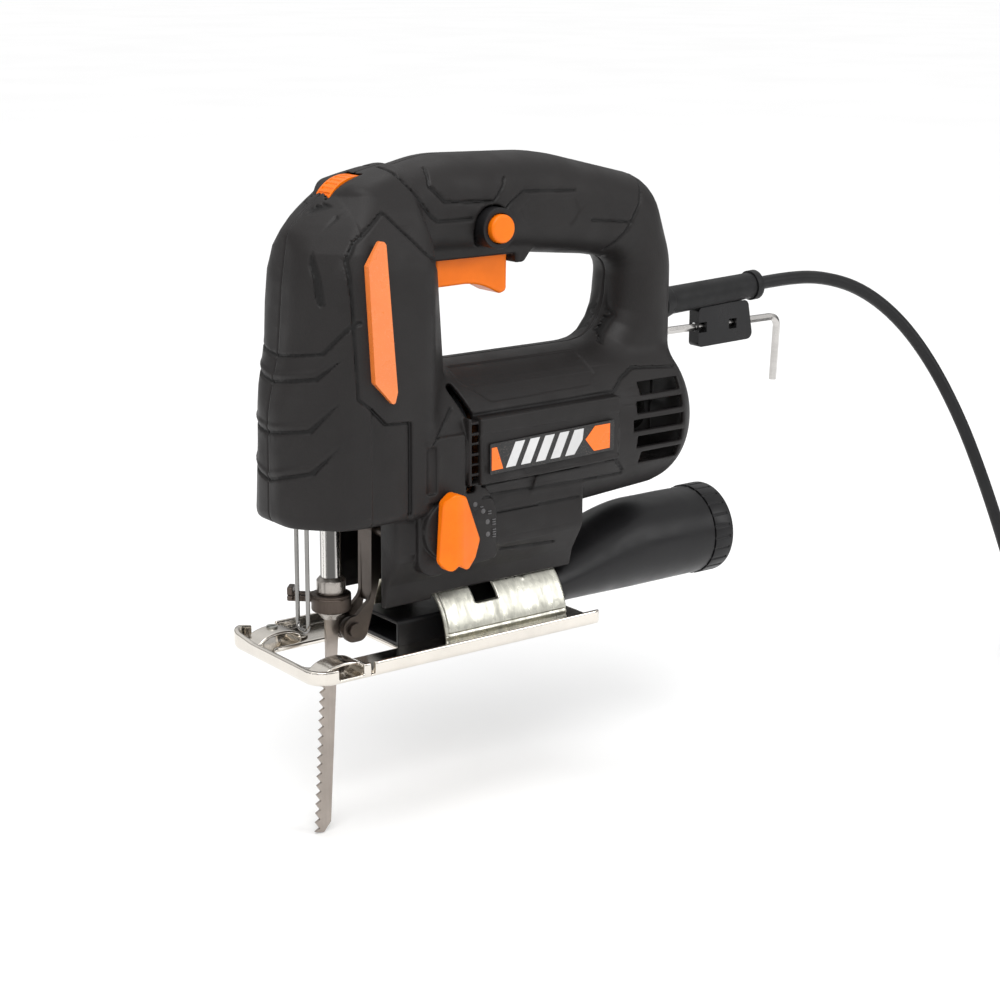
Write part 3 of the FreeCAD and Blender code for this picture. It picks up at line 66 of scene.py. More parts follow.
def rounded(corners, steps=7):
    """A closed outline from corners (u, v, radius): each corner becomes a fillet of that radius,
    laid out as even steps of the turn between its two tangent points."""
    spots = np.array([corner[:2] for corner in corners], float)
    out = []
    for i, (_, _, radius) in enumerate(corners):
        here = spots[i]
        if radius < 0.05:
            out.append(here[None])
            continue
        back = spots[i - 1] - here
        ahead = spots[(i + 1) % len(spots)] - here
        back /= np.hypot(*back)
        ahead /= np.hypot(*ahead)
        half = np.arccos(np.clip(back @ ahead, -1, 1)) / 2
        inward = (back + ahead) / np.hypot(*(back + ahead))
        centre = here + inward * radius / np.sin(half)
        reach = radius / np.tan(half)
        share = np.linspace(0, 1, steps)[:, None]
        arc = (here + back * reach) * (1 - share) + (here + ahead * reach) * share - centre
        out.append(centre + arc / np.hypot(arc[:, 0], arc[:, 1])[:, None] * radius)
    return np.vstack(out)


class Flat:
    """Signed distance to closed outlines in a plane, kept on a grid and read between its points:
    the least distance to any side, made negative where an odd number of sides lie to the right."""

    def __init__(self, *outlines, pitch=0.8, margin=6.0):
        every = np.vstack(outlines)
        self.low = every.min(0) - margin
        count = np.ceil((np.ptp(every, 0) + 2 * margin) / pitch).astype(int) + 1
        self.pitch = pitch
        u, v = np.meshgrid(self.low[0] + pitch * np.arange(count[0]),
                           self.low[1] + pitch * np.arange(count[1]), indexing="ij")
        near = np.full(u.shape, 1e9)
        inside = np.zeros(u.shape, bool)
        for line in outlines:
            for (au, av), (bu, bv) in zip(line, np.roll(line, -1, 0)):
                du, dv = bu - au, bv - av
                size = du * du + dv * dv
                if size < 1e-9:
                    continue
                t = np.clip(((u - au) * du + (v - av) * dv) / size, 0, 1)
                near = np.minimum(near, (u - au - t * du) ** 2 + (v - av - t * dv) ** 2)
                if abs(dv) > 1e-9:
                    inside ^= ((av > v) != (bv > v)) & (u < au + (v - av) * du / dv)
        self.grid = np.where(inside, -1, 1) * np.sqrt(near)

    def __call__(self, u, v):
        top = np.array(self.grid.shape) - 1.001
        a = (u - self.low[0]) / self.pitch
        b = (v - self.low[1]) / self.pitch
        ac = np.clip(a, 0, top[0])
        bc = np.clip(b, 0, top[1])
        i = ac.astype(int)
        j = bc.astype(int)
        p = ac - i
        q = bc - j
        g = self.grid
        near = g[i, j] * (1 - p) + g[i + 1, j] * p
        far = g[i, j + 1] * (1 - p) + g[i + 1, j + 1] * p
        read = near * (1 - q) + far * q
        return read + np.hypot(a - ac, b - bc) * self.pitch


def join(a, b, soft):
    """The nearer of two distances, with a fillet where they are within soft of each other."""
    h = np.maximum(soft - np.abs(a - b), 0) / soft
    return np.minimum(a, b) - h * h * soft / 4


def meet(a, b, soft):
    """The farther of two distances, with the edge between them rounded."""
    return -join(-a, -b, soft)


def prism(flat, across, half, edge):
    """An outline's distance drawn out to a slab of the given half thickness with rounded edges."""
    a = flat + edge
    b = np.abs(across) - half + edge
    return np.minimum(np.maximum(a, b), 0) + np.hypot(np.maximum(a, 0), np.maximum(b, 0)) - edge


def crate(p, low, high, edge=0.0):
    """Distance to a box with rounded edges."""
    low = np.asarray(low, float)
    high = np.asarray(high, float)
    q = np.abs(p - (low + high) / 2) - (high - low) / 2 + edge
    return np.linalg.norm(np.maximum(q, 0), axis=1) + np.minimum(q.max(1), 0) - edge


def stroke(u, v, points, wide=1.0):
    """Distance in a plane to an open line of straight runs, less a half width that runs from wide
    at the first point to the share of it given by each point's third number."""
    best = np.full(u.shape, 1e3)
    for a, b in zip(points, points[1:]):
        du, dv = b[0] - a[0], b[1] - a[1]
        t = np.clip(((u - a[0]) * du + (v - a[1]) * dv) / (du * du + dv * dv), 0, 1)
        first = a[2] if len(a) > 2 else 1.0
        last = b[2] if len(b) > 2 else 1.0
        half = wide * (first + (last - first) * t)
        best = np.minimum(best, np.hypot(u - a[0] - t * du, v - a[1] - t * dv) - half)
    return best


# ------------------------------------------------------------------ the housing's shape

LOOP = Flat(
    rounded([(5, 110, 0), (5, 189.8, 10), (46, 199.0, 60), (100, 197.5, 90), (159, 183.1, 24),
             (170, 150, 40), (170, MOTOR_HEIGHT, 0), (60, MOTOR_HEIGHT, 0)]),
    rounded([(45, 113.6, 8), (39, 159, 5), (86, 157.2, 30), (124, 153.2, 14), (141, 150, 8),
             (137.5, 114.4, 22)]))
HEAD_SIDE = Flat(rounded([(-26.5, 58, 2), (-28.8, 63.5, 4), (-28, 104, 20), (-22.6, 127, 12),
                          (-20.2, 155, 60), (-17.4, 173, 8), (-4.8, 184.6, 12), (5, 190.5, 14),
                          (20, 194.3, 30), (27, 195.6, 0), (57.5, 58, 0)]))
HEAD_PLAN = Flat(rounded([(-28.8, 8, 6), (-25.6, 17, 10), (-13, 29, 14), (8, 34, 30), (27, 34, 8),
                          (45, 16, 8), (45, -16, 8), (27, -34, 8), (8, -34, 30), (-13, -29, 14),
                          (-25.6, -17, 10), (-28.8, -8, 6)]))
HEAD_END = Flat(rounded([(-29.6, 58, 2), (-34, 62.8, 3), (-34.3, 158, 12), (-23.5, 181, 18),
                         (-12.5, 195.4, 14), (0, 199.8, 20), (12.5, 195.4, 14), (23.5, 181, 18),
                         (34.3, 158, 12), (34, 62.8, 3), (29.6, 58, 2)]))
# How far the nose reaches towards its front corners, by height.
NOSE_HEIGHTS = [58, 65, 78, 90, 105, 112, 121, 131, 144, 157, 166, 172.4, 176, 179, 186]
NOSE_REACH = [30.4, 29.4, 28.6, 27.9, 27.6, 27.2, 25.8, 24.7, 24.3, 23.2, 20.9, 17.4, 14.9, 12.2, 5.5]
SKIRT = Flat(rounded([(-28, 66, 0), (-28, 43, 6), (-21.2, 31, 4), (-18.9, 21.2, 0), (18.9, 21.2, 0),
                      (21.2, 31, 4), (28, 43, 6), (28, 66, 0)]))
SIDE_PANEL = Flat(rounded([(10.8, 180.5, 1.5), (-3.5, 170.3, 2), (-7.2, 164, 1), (-6.8, 143, 0),
                           (-5.6, 111.3, 1), (-0.5, 107, 0), (5.8, 100.3, 1), (17, 99.6, 0), (17, 50, 0),
                           (60, 50, 0), (60, 150, 0), (44, 150, 0), (25.3, 164.8, 1)]))
LEVER_SEAT = Flat(rounded([(22, 73.5, 12), (60.5, 73.5, 19), (60.5, 37.5, 2), (22, 34, 8)]))
LABEL_AREA = Flat(rounded([(50.2, 90.6, 0.8), (122, 91, 0.8), (122, 73, 0.8), (52, 71, 0.8)]), pitch=0.5)
TRIGGER_GUARD = Flat(rounded([(40, 172, 0), (40, 157.4, 0), (83.9, 157.4, 0), (83.9, 153.6, 0.8),
                              (88.5, 153.6, 1.5), (92.5, 158.5, 2), (94, 172, 0)]))
GRIP_PAD = Flat(rounded([(81.6, 176.2, 1), (86.2, 180.6, 1), (109.4, 178.6, 1), (112.9, 173.5, 1),
                         (107.7, 167.8, 1), (85, 170.4, 1)]), pitch=0.5)
BARREL_PAD = Flat(rounded([(50, 109.5, 1), (60.5, 101.4, 1), (112, 102.2, 1), (116.5, 106, 1),
                           (115, 114, 1), (50, 114, 1)]), pitch=0.5)
EXHAUST = Flat(rounded([(41.6, 109.2, 1), (45.2, 98.5, 1), (45.2, 66.5, 1), (49.6, 66.5, 1), (49.6, 98.5, 1),
                        (45.8, 109.6, 1)]), pitch=0.5)

# Fine grooves on each flank, as runs in the side plane (x, z) cut straight in from the side.
SIDE_LINES = [
    [(25.3, 164.8), (10.8, 180.5), (-3.5, 170.3), (-7.2, 164), (-6.8, 143), (-5.6, 111.3), (-0.5, 107),
     (5.8, 100.3), (17, 99.6), (17, 63)],
    [(25.3, 164.8), (30, 162), (36, 161.5)],
    [(21.7, 196), (25.7, 190.1), (37.7, 176.4), (41, 174.2), (58, 174)],
    [(39, 194.2), (37.6, 188), (44.2, 181.7), (68.2, 180), (72.8, 185.7), (74.2, 189)],
    [(74, 176.5), (76.7, 179.1), (83.2, 183.4), (109.6, 182)],
    [(118.7, 169.1), (140.3, 166.7)],
    [(153, 188), (147.2, 180), (144.1, 173.5), (138.2, 164.3), (130, 155.5)],
    [(134.1, 151.9), (139.5, 143.9), (138.6, 126.3), (130.2, 115.8)],
    [(49.5, 97.6), (122, 98.2), (129, 103), (137, 106), (160, 104)],
    [(53, 68.6), (121, 70.6), (128, 64)],
    [(53.5, 63.6), (128.3, 62.5)],
    [(63, 55.4), (105.2, 55.5)],
    [(66, 39.1), (94.3, 37.3)],
    [(40.4, 101.5), (27.2, 89.6)],
    [(-14.7, 177.2), (-13.5, 178.3), (-3.7, 182.6)],
]
NOSE_STRIP = [(-4.6, 179), (-16, 170.8), (-14.8, 147.4)]
# Grooves on the nose, as runs in the front plane (y, z) cut straight in from the front.
NOSE_LINES = [[(0, 125.6), (20.8, 128.3), (30.1, 140.8)]]
NOSE_RIDGES = [
    [(0, 115.6, 0.8), (19.7, 118.6, 1.0), (27.4, 127, 0.1)],
    [(0, 96, 0.8), (18.7, 98.4, 1.0), (27.6, 110.2, 0.1)],
    [(0, 77, 0.8), (19.5, 82, 1.0), (27.8, 93, 0.1)],
]
SCREW_PLACES = [(-12, 160), (-14, 86), (32, 150), (15, 68), (60, 189), (124, 184), (155, 112),
                (50, 50), (98, 50), (148, 62)]
# The lever's four settings: a raised dot by each, and one to four short bars beside it.
MARKS = [(49.4, 61.6), (53.4, 58.2), (55.6, 53.4), (55.8, 48.2)]


def head_shape(p):
    x, y, z = p.T
    full = meet(meet(HEAD_SIDE(x, z), HEAD_PLAN(x, y), 2.5), HEAD_END(y, z), 5)
    corner = 0.6 * np.abs(y) - 0.8 * x - np.interp(z, NOSE_HEIGHTS, NOSE_REACH)
    return meet(full, corner, 4)


def barrel_shape(p):
    """A drum along x whose rear edge is a quarter round."""
    x, y, z = p.T
    r = np.hypot(y, z - MOTOR_HEIGHT)
    rear = np.hypot(np.maximum(x - 155, 0), np.maximum(r - 18, 0)) - 15
    drum = np.maximum(np.where(x > 155, rear, r - 33), 30 - x)
    sunk = np.hypot(y, z - MOTOR_HEIGHT + 3.6 * np.clip((160 - x) / 52, 0, 1)) - 33
    return np.minimum(drum, np.maximum(np.maximum(sunk, 80 - x), x - 156))


def outer_shape(p, left):
    """The outside of the whole housing without its grooves: the handle loop, the head with its
    raised side panels, the motor barrel and the skirt, run together with fillets."""
    x, y, z = p.T
    loop = prism(LOOP(x, z), y, GRIP_HALF, 15.2)
    full = head_shape(p)
    base = head_shape(p * [1, 34 / 33.0, 1])
    panel = SIDE_PANEL(x, z)
    raised = np.maximum(np.maximum(full, panel), (full + panel) * 0.707 + 0.5)
    ridges = np.full(x.shape, 1e3)
    across = np.abs(y)
    for line in NOSE_RIDGES:
        lifted = [(a, b + 2.6, w) for a, b, w in line]
        ridges = np.minimum(ridges, stroke(across, z, lifted, 1.6))
    nose = full - 0.55 * np.clip(-ridges / 1.6, 0, 1) * (x < 0)
    block = np.minimum(np.where(x < 0, np.minimum(nose, base), base), raised)
    drum = join(barrel_shape(p), crate(p, (44, -34.4, 70), (122, 34.4, 98), 1.2), 1.0)
    body = join(join(loop, block, 5), drum, 4)
    body = join(body, prism(SKIRT(y, z), x - 60.5, 47.5, 1.5), 1.5)
    wedge = crate(p, (24, -33.6, 66), (43, 33.6, 92), 1.0)
    guard = prism(TRIGGER_GUARD(x, z), y, 11.5, 1.5)
    body = join(join(body, wedge, 1.0), guard, 2.0)
    if left:
        seat = prism(LEVER_SEAT(x, z), y + 21, 9.8, 0.8)
        ring = np.maximum(np.hypot(x - 35.5, z - 54) - 12.5, np.abs(y + 23) - 11.0)
        body = np.minimum(body, np.minimum(seat, ring))
    return body


def grooves(p):
    """Distance to the nearest groove line, negative inside it."""
    x, y, z = p.T
    across = np.abs(y)
    best = np.full(x.shape, 1e3)
    for line in SIDE_LINES:
        best = np.minimum(best, stroke(x, z, line, 0.55))
    best = np.where(across > 2.5, best, 1e3)
    best = np.minimum(best, np.where((across > 14) & (x < 0), stroke(x, z, NOSE_STRIP, 0.9), 1e3))
    for line in NOSE_LINES:
        best = np.minimum(best, np.where(x < 0, stroke(across, z, line, 0.6), 1e3))
    for line in NOSE_RIDGES:
        best = np.minimum(best, np.where(x < 0, stroke(across, z, line, 0.75), 1e3))
    return best


def cuts(p, left):
    """Distance to everything that opens through the walls."""
    x, y, z = p.T
    dial = np.maximum(np.hypot(x - 12, z - 177.5) - 15.8, np.abs(y) - 5.6)
    trigger = crate(p, (46, -8.2, 150), (83.8, 8.2, 164.5))
    bush = np.maximum(np.hypot(x, y) - 8.0, np.abs(z - 55) - 8)
    boot = np.maximum(np.hypot(y, z - 127.3 - (x - 164.4) * 0.046) - 6.25, 160 - x)
    cradle = np.maximum(np.hypot(y, z - 3) - 28.0, 36 - x)
    channel = crate(p, (-5, -16.5, 10), (46, 16.5, 58))
    channel = np.maximum(channel, -crate(p, (41, -30, 45), (60, 30, 70)))
    best = np.minimum.reduce([dial, trigger, bush, boot, np.maximum(cradle, z - 40), channel])
    for row in range(5):
        low = 66 + row * 7.3
        lead = 2.4 * abs(row - 2) ** 1.2
        for side in (-1, 1):
            spread = sorted((side * 14, side * 40))
            slot = crate(p, (130.5 + lead, spread[0], low), (159, spread[1], low + 5.2), 0.5)
            best = np.minimum(best, slot)
    strip = EXHAUST(x, z)
    fins = np.where(z > 96, 9.0, np.abs((z - 68) % 4.2 - 2.1) - 0.7)
    vent = np.maximum(strip, 17 - np.abs(y))
    best = np.minimum(best, np.maximum(vent, -np.maximum(fins, np.abs(y) - 32.6)))
    recess = crate(p, (24.4, -40, 69.5), (28.8, 40, 88.5), 0.5)
    best = np.minimum(best, np.maximum(recess, 32.4 - np.abs(y)))
    if left:
        button = np.maximum(np.hypot(x - 68, z - 170) - 8.9, y + 12)
        shaft = np.maximum(np.hypot(x - 35.5, z - 54) - 4.3, y)
        best = np.minimum(best, np.minimum(button, shaft))
    else:
        for u, v in SCREW_PLACES:
            away = np.hypot(x - u, z - v)
            best = np.minimum(best, np.maximum(away - 3.3, 12.5 - y))
            best = np.minimum(best, np.maximum(away - 1.7, -y))
    return best


def half_shape(p, left, wall, depth, seam):
    """One housing half: the outside, lowered in its grooves and pads, less the hollow at one wall's
    depth and less the openings, with the posts for its screws, cut off a hair short of the seam."""
    x, y, z = p.T
    skin = outer_shape(p, left)
    groove = grooves(p)
    shape = meet(skin, np.minimum(-groove, skin + depth), 0.35)
    pads = np.minimum(np.minimum(LABEL_AREA(x, z), GRIP_PAD(x, z)), BARREL_PAD(x, z))
    shape = np.maximum(shape, np.minimum(-pads, skin + 0.45))
    hollow = skin + wall + 1.8 * np.clip((18 - x) / 6, 0, 1)
    for u, v in SCREW_PLACES:
        hollow = np.maximum(hollow, 4.6 - np.hypot(x - u, z - v))
    shape = np.maximum(shape, -hollow)
    shape = meet(shape, -cuts(p, left), 0.4)
    side = y if left else -y
    return meet(shape, side + seam, 0.7)


def blocks_near(field, low, count, step, size=8):
    """Samples of a distance field at grid points, worked out in full only in the blocks of the
    grid that its surface can reach."""
    values = np.full(count, 9.0, np.float32)
    tiles = [np.arange(0, n, size) for n in count]
    corner = np.stack(np.meshgrid(*tiles, indexing="ij"), -1).reshape(-1, 3)
    middle = field(low + (corner + size / 2) * step)
    reach = size * step * 0.87 * 1.15 + 1.2
    offsets = np.stack(np.meshgrid(*[np.arange(size)] * 3, indexing="ij"), -1).reshape(-1, 3)
    for tile, value in zip(corner, middle):
        if value < -reach:
            span = tuple(slice(a, min(a + size, n)) for a, n in zip(tile, count))
            values[span] = -9.0
    close = corner[np.abs(middle) <= reach]
    for part in np.array_split(close, max(1, len(close) // 400)):
        index = (part[:, None] + offsets[None]).reshape(-1, 3)
        index = index[(index < count).all(1)]
        values[tuple(index.T)] = field(low + index * step)
    return values


def skin_of(values, low, step):
    """The surface where grid samples pass zero: one point in each cell that it crosses, at the mean
    of the crossings on the cell's edges, and one square for each grid edge that it crosses."""
    minus = values < 0
    count = np.array(values.shape)
    cells = np.zeros(count - 1, np.int8)
    near = [(a, b, c) for a in (0, 1) for b in (0, 1) for c in (0, 1)]
    for a, b, c in near:
        cells += minus[a:count[0] - 1 + a, b:count[1] - 1 + b, c:count[2] - 1 + c]
    mixed = (cells > 0) & (cells < 8)
    place = np.argwhere(mixed)
    number = np.full(mixed.shape, -1, np.int64)
    number[mixed] = np.arange(len(place))
    total = np.zeros((len(place), 3))
    crossed = np.zeros(len(place))
    for first in near:
        for axis in range(3):
            if first[axis]:
                continue
            last = np.array(first)
            last[axis] = 1
            a = values[tuple((place + first).T)]
            b = values[tuple((place + last).T)]
            hit = (a < 0) != (b < 0)
            t = np.where(hit, a / np.where(hit, a - b, 1), 0)
            spot = np.array(first, float) + t[:, None] * (last - np.array(first))
            total += spot * hit[:, None]
            crossed += hit
    points = low + (place + total / crossed[:, None]) * step
    faces = []
    for axis in range(3):
        u, v = [(1, 2), (2, 0), (0, 1)][axis]
        step_on = np.zeros(3, int)
        step_on[axis] = 1
        a = minus[tuple(slice(0, n - s) for n, s in zip(count, step_on))]
        b = minus[tuple(slice(s, n) for n, s in zip(count, step_on))]
        edge = np.argwhere(a != b)
        across, along = edge[:, u], edge[:, v]
        edge = edge[(across > 0) & (along > 0) & (across < count[u] - 1) & (along < count[v] - 1)]
        inner = a[tuple(edge.T)]
        quad = []
        for du, dv in ((0, 0), (-1, 0), (-1, -1), (0, -1)):
            at = edge.copy()
            at[:, u] += du
            at[:, v] += dv
            quad.append(number[tuple(at.T)])
        quad = np.stack(quad, 1)
        quad[~inner] = quad[~inner][:, ::-1]
        faces.append(quad)
    return points, np.vstack(faces)


def settled(points, field, step):
    """Points moved along the field's slope onto its zero surface, at most 0.4 of a step each time."""
    small = step * 0.3
    here = field(points)
    slope = np.stack([field(points + small * axis) - here for axis in np.eye(3)], 1) / small
    size = np.maximum(np.linalg.norm(slope, axis=1), 0.5)
    slope /= size[:, None]
    for _ in range(2):
        points = points - slope * np.clip(here / size, -0.4 * step, 0.4 * step)[:, None]
        here = field(points)
    return points


def sculpt(name, field, low, high, step, most=190000):
    """A mesh object of the surface where a distance field is zero, thinned to a number of triangles."""
    low = np.asarray(low, float)
    count = np.ceil((np.asarray(high, float) - low) / step).astype(int) + 1
    points, faces = skin_of(blocks_near(field, low, count, step), low, step)
    points = settled(points, field, step)
    piece = new_mesh(name, points * MM, faces)
    piece.data.shade_smooth()
    if 2 * len(faces) > most:
        thin = piece.modifiers.new("thin", "DECIMATE")
        thin.ratio = most / (2 * len(faces))
    return piece, points


def housing_mesh(name, left, sizes):
    """One housing half, with an attribute that is 1 down in its grooves, which its material uses to paint
    shade there.
    """
    step = sizes.surface_step
    low = (-33.0, -40.0 if left else -1.5, 20.0)
    high = (174.0, 1.5 if left else 40.0, 203.0)

    def field(p):
        return half_shape(p, left, sizes.wall, sizes.groove_depth, sizes.seam_gap)

    piece, points = sculpt(name, field, low, high, step)
    depth = np.clip(0.35 - grooves(points), 0, 0.7) / 0.7
    mark = piece.data.attributes.new("groove", "FLOAT", "POINT")
    mark.data.foreach_set("value", depth.astype(np.float32))
    return piece


# ------------------------------------------------------------------ smaller moulded and pressed pieces

SOLE_EDGE = Flat(rounded([(-29.4, -34.5, 9), (140, -34.5, 0), (140, 34.5, 0), (-29.4, 34.5, 9)]), pitch=0.5)
SOLE_ENDS = Flat(rounded([(-60, -34.5, 0), (113.6, -34.5, 3.5), (113.6, 34.5, 3.5), (-60, 34.5, 0)]),
                 pitch=0.5)
SOLE_OPENING = Flat(rounded([(-20.5, -14, 4), (23, -14, 1.2), (23, 14, 1.2), (-20.5, 14, 4)]), pitch=0.5)
LEVER = Flat(rounded([(26.9, 42.5, 3), (30.5, 38.2, 2.6), (34.6, 40.6, 0.6), (39.4, 37.8, 2.6), (44.4, 42, 2),
                      (47.5, 48.8, 2.5), (38.2, 68.6, 3.4), (33, 70.6, 3), (28.3, 67, 3)]), pitch=0.4)


def pressed_sole(p):
    """A pressed tray: an outline with a rolled lower edge up to the lip's height, less the same
    outline one sheet further in above the floor, less the blade opening and the fence windows."""
    x, y, z = p.T
    edge = SOLE_EDGE(x, y)
    a, b = edge + 2.6, 2.6 - z
    outer = np.minimum(np.maximum(a, b), 0) + np.hypot(np.maximum(a, 0), np.maximum(b, 0)) - 2.6
    ear = np.clip(1.3 - np.hypot(x + 27, (y - 34) * 0.6) / 9, 0, 1)
    outer = meet(meet(outer, z - 6.3 - 1.9 * ear * (y > 0), 0.8), SOLE_ENDS(x, y), 1.0)
    a, b = edge + 3.2, 3.2 - z
    inner = np.minimum(np.maximum(a, b), 0) + np.hypot(np.maximum(a, 0), np.maximum(b, 0)) - 1.2
    shape = meet(outer, -inner, 0.6)
    shape = meet(shape, -SOLE_OPENING(x, y), 0.8)
    rib = stroke(x, y, [(30, -27.5), (104, -27.5)], 1.4)
    rib = np.minimum(rib, stroke(x, y, [(30, 27.5), (104, 27.5)], 1.4))
    shape = join(shape, np.maximum(np.maximum(rib, z - 2.5), 1.0 - z), 0.8)
    window = crate(p, (-18.3, -50, 2.0), (-6.7, 50, 12.0), 0.4)
    notch = crate(p, (-3.4, -50, 1.2), (-1.4, -30, 9), 0.3)
    return np.maximum(np.maximum(shape, -window), -notch)


def fence_bridges(p):
    """Two arched bridges over the fence's slot: half an oval sheet on two flat feet."""
    x, y, z = p.T
    across = np.abs(y) - 24
    u, v = x + 12.5, z - 1.4
    outer = (np.hypot(u / 11.0, np.maximum(v, 0) / 5.4) - 1) * 5.4
    inner = (np.hypot(u / 9.2, np.maximum(v, 0) / 4.0) - 1) * 4.2
    sheet = np.maximum(np.maximum(outer, -inner), -v)
    feet = crate(np.stack([np.abs(u), across, z], 1), (9, -5.4, 1.4), (12.8, 5.4, 3.0), 0.5)
    sheet = meet(sheet, np.abs(across) - 5.4, 0.5)
    bar = np.maximum(np.abs(u) - 5.9, z - 5.05)
    return np.maximum(join(sheet, feet, 1.2), -bar)


def bracket_shell(p):
    """The tilting bracket: an arched sheet round the tilt line with a window for the index, a folded
    lip at its front edge, two pressed lines along its foot and feet turned out on the sole."""
    x, y, z = p.T
    r = np.hypot(y, z - 3)
    shell = np.abs(r - 26.65) - 0.85
    edge = 37.5 + 0.9 * np.clip((np.abs(y) - 15) / 10, 0, 1)
    shell = meet(shell, np.maximum(edge - x, x - 100), 0.5)
    lip = stroke(x, r, [(38.4, 26.6), (38.1, 27.4)], 0.75)
    shell = np.maximum(join(shell, lip, 0.6), 2.05 - z)
    window = crate(p, (55.2, -40, 17.2), (66.8, 40, 60), 0.5)
    shell = np.maximum(shell, -window)
    feet = crate(np.stack([x, np.abs(y), z], 1), (39.5, 25.7, 2.05), (98, 31.1, 3.2), 0.3)
    shell = join(shell, feet, 0.8)
    lines = np.minimum(np.abs(z - 5.2), np.abs(z - 7.6)) - 0.35
    shell = meet(shell, np.minimum(-lines, r - 27.15), 0.15)
    rivet = np.sqrt((x - 82) ** 2 + (y + 18.9) ** 2 + (z - 21.6) ** 2) - 1.3
    return join(shell, rivet, 0.4)


def clamp_collar(p):
    """The clamping ring with softened edges, its release arm and the thumb tab at the arm's end."""
    x, y, z = p.T
    r = np.hypot(x, y)
    ring = meet(r - 8.1, np.abs(z - 22.5) - 3.5, 0.7)
    turned = np.stack([-0.743145 * x + 0.669131 * y, -0.669131 * x - 0.743145 * y, z], 1)
    arm = crate(turned, (5, -1.5, 22.2), (17.5, 1.5, 26), 0.4)
    tab = crate(turned, (15.2, -3, 22.7), (17.6, 3, 28.4), 0.5)
    band = np.maximum(np.abs(z - 24.9) - 0.25, 7.75 - r)
    return np.maximum(np.maximum(join(ring, np.minimum(arm, tab), 0.5), 4.65 - r), -band)


def setting_marks(p):
    """The raised dots and bars beside the lever on the housing's flat seat."""
    x, y, z = p.T
    best = np.full(x.shape, 1e3)
    for count, (u, v) in enumerate(MARKS, 1):
        best = np.minimum(best, np.hypot(np.hypot(x - u, z - v), (y + 30.6) * 2.2) - 1.15)
        for index in range(count):
            low = (u + 2.2, -31.2, v - 1.7 + index * 1.0)
            best = np.minimum(best, crate(p, low, (low[0] + 1.7, -30.5, low[2] + 0.5), 0.1))
    return best


def lever_grip(p):
    """The orbital lever: a kite-shaped plate whose face falls away on both sides of one ridge."""
    x, y, z = p.T
    plate = prism(LEVER(x, z), y + 37.9, 3.3, 1.3)
    left = ((32.6 - x) * 0.62 - (y + 41.2)) * 0.85
    right = ((x - 35.6) * 0.36 - (y + 41.2)) * 0.94
    return meet(meet(plate, left, 0.5), right, 0.5)


# ------------------------------------------------------------------ mesh and node helpers


def new_mesh(name, points, faces):
    """A mesh object at the origin from whole arrays of points and of faces."""
    mesh = bpy.data.meshes.new(name)
    mesh.from_pydata(np.asarray(points, float).tolist(), [], np.asarray(faces).tolist())
    mesh.validate()
    mesh.update()
    piece = bpy.data.objects.new(name, mesh)
    bpy.context.scene.collection.objects.link(piece)
    return piece


def grid_faces(rows, columns, wrap_rows=False, wrap_columns=False):
    """Squares between neighbours on a grid of points, row after row."""
    last_row = rows if wrap_rows else rows - 1
    last_column = columns if wrap_columns else columns - 1
    r, c = np.meshgrid(np.arange(last_row), np.arange(last_column), indexing="ij")
    r2 = (r + 1) % rows
    c2 = (c + 1) % columns
    quads = np.stack([r * columns + c, r * columns + c2, r2 * columns + c2, r2 * columns + c], -1)
    return quads.reshape(-1, 4)


def paint(piece, material):
    """Every face of the piece takes one material."""
    piece.data.materials.clear()
    piece.data.materials.append(material)


def soften(node, width, angle=0.6):
    """A CAD node's loose triangles are welded and its sharp edges get a narrow round."""
    weld = node.modifiers.new("weld", "WELD")
    weld.merge_threshold = 0.00001
    edge = node.modifiers.new("edge", "BEVEL")
    edge.width = width * MM
    edge.segments = 2
    edge.limit_method = "ANGLE"
    edge.angle_limit = angle
    edge.use_clamp_overlap = True
    edge.harden_normals = False


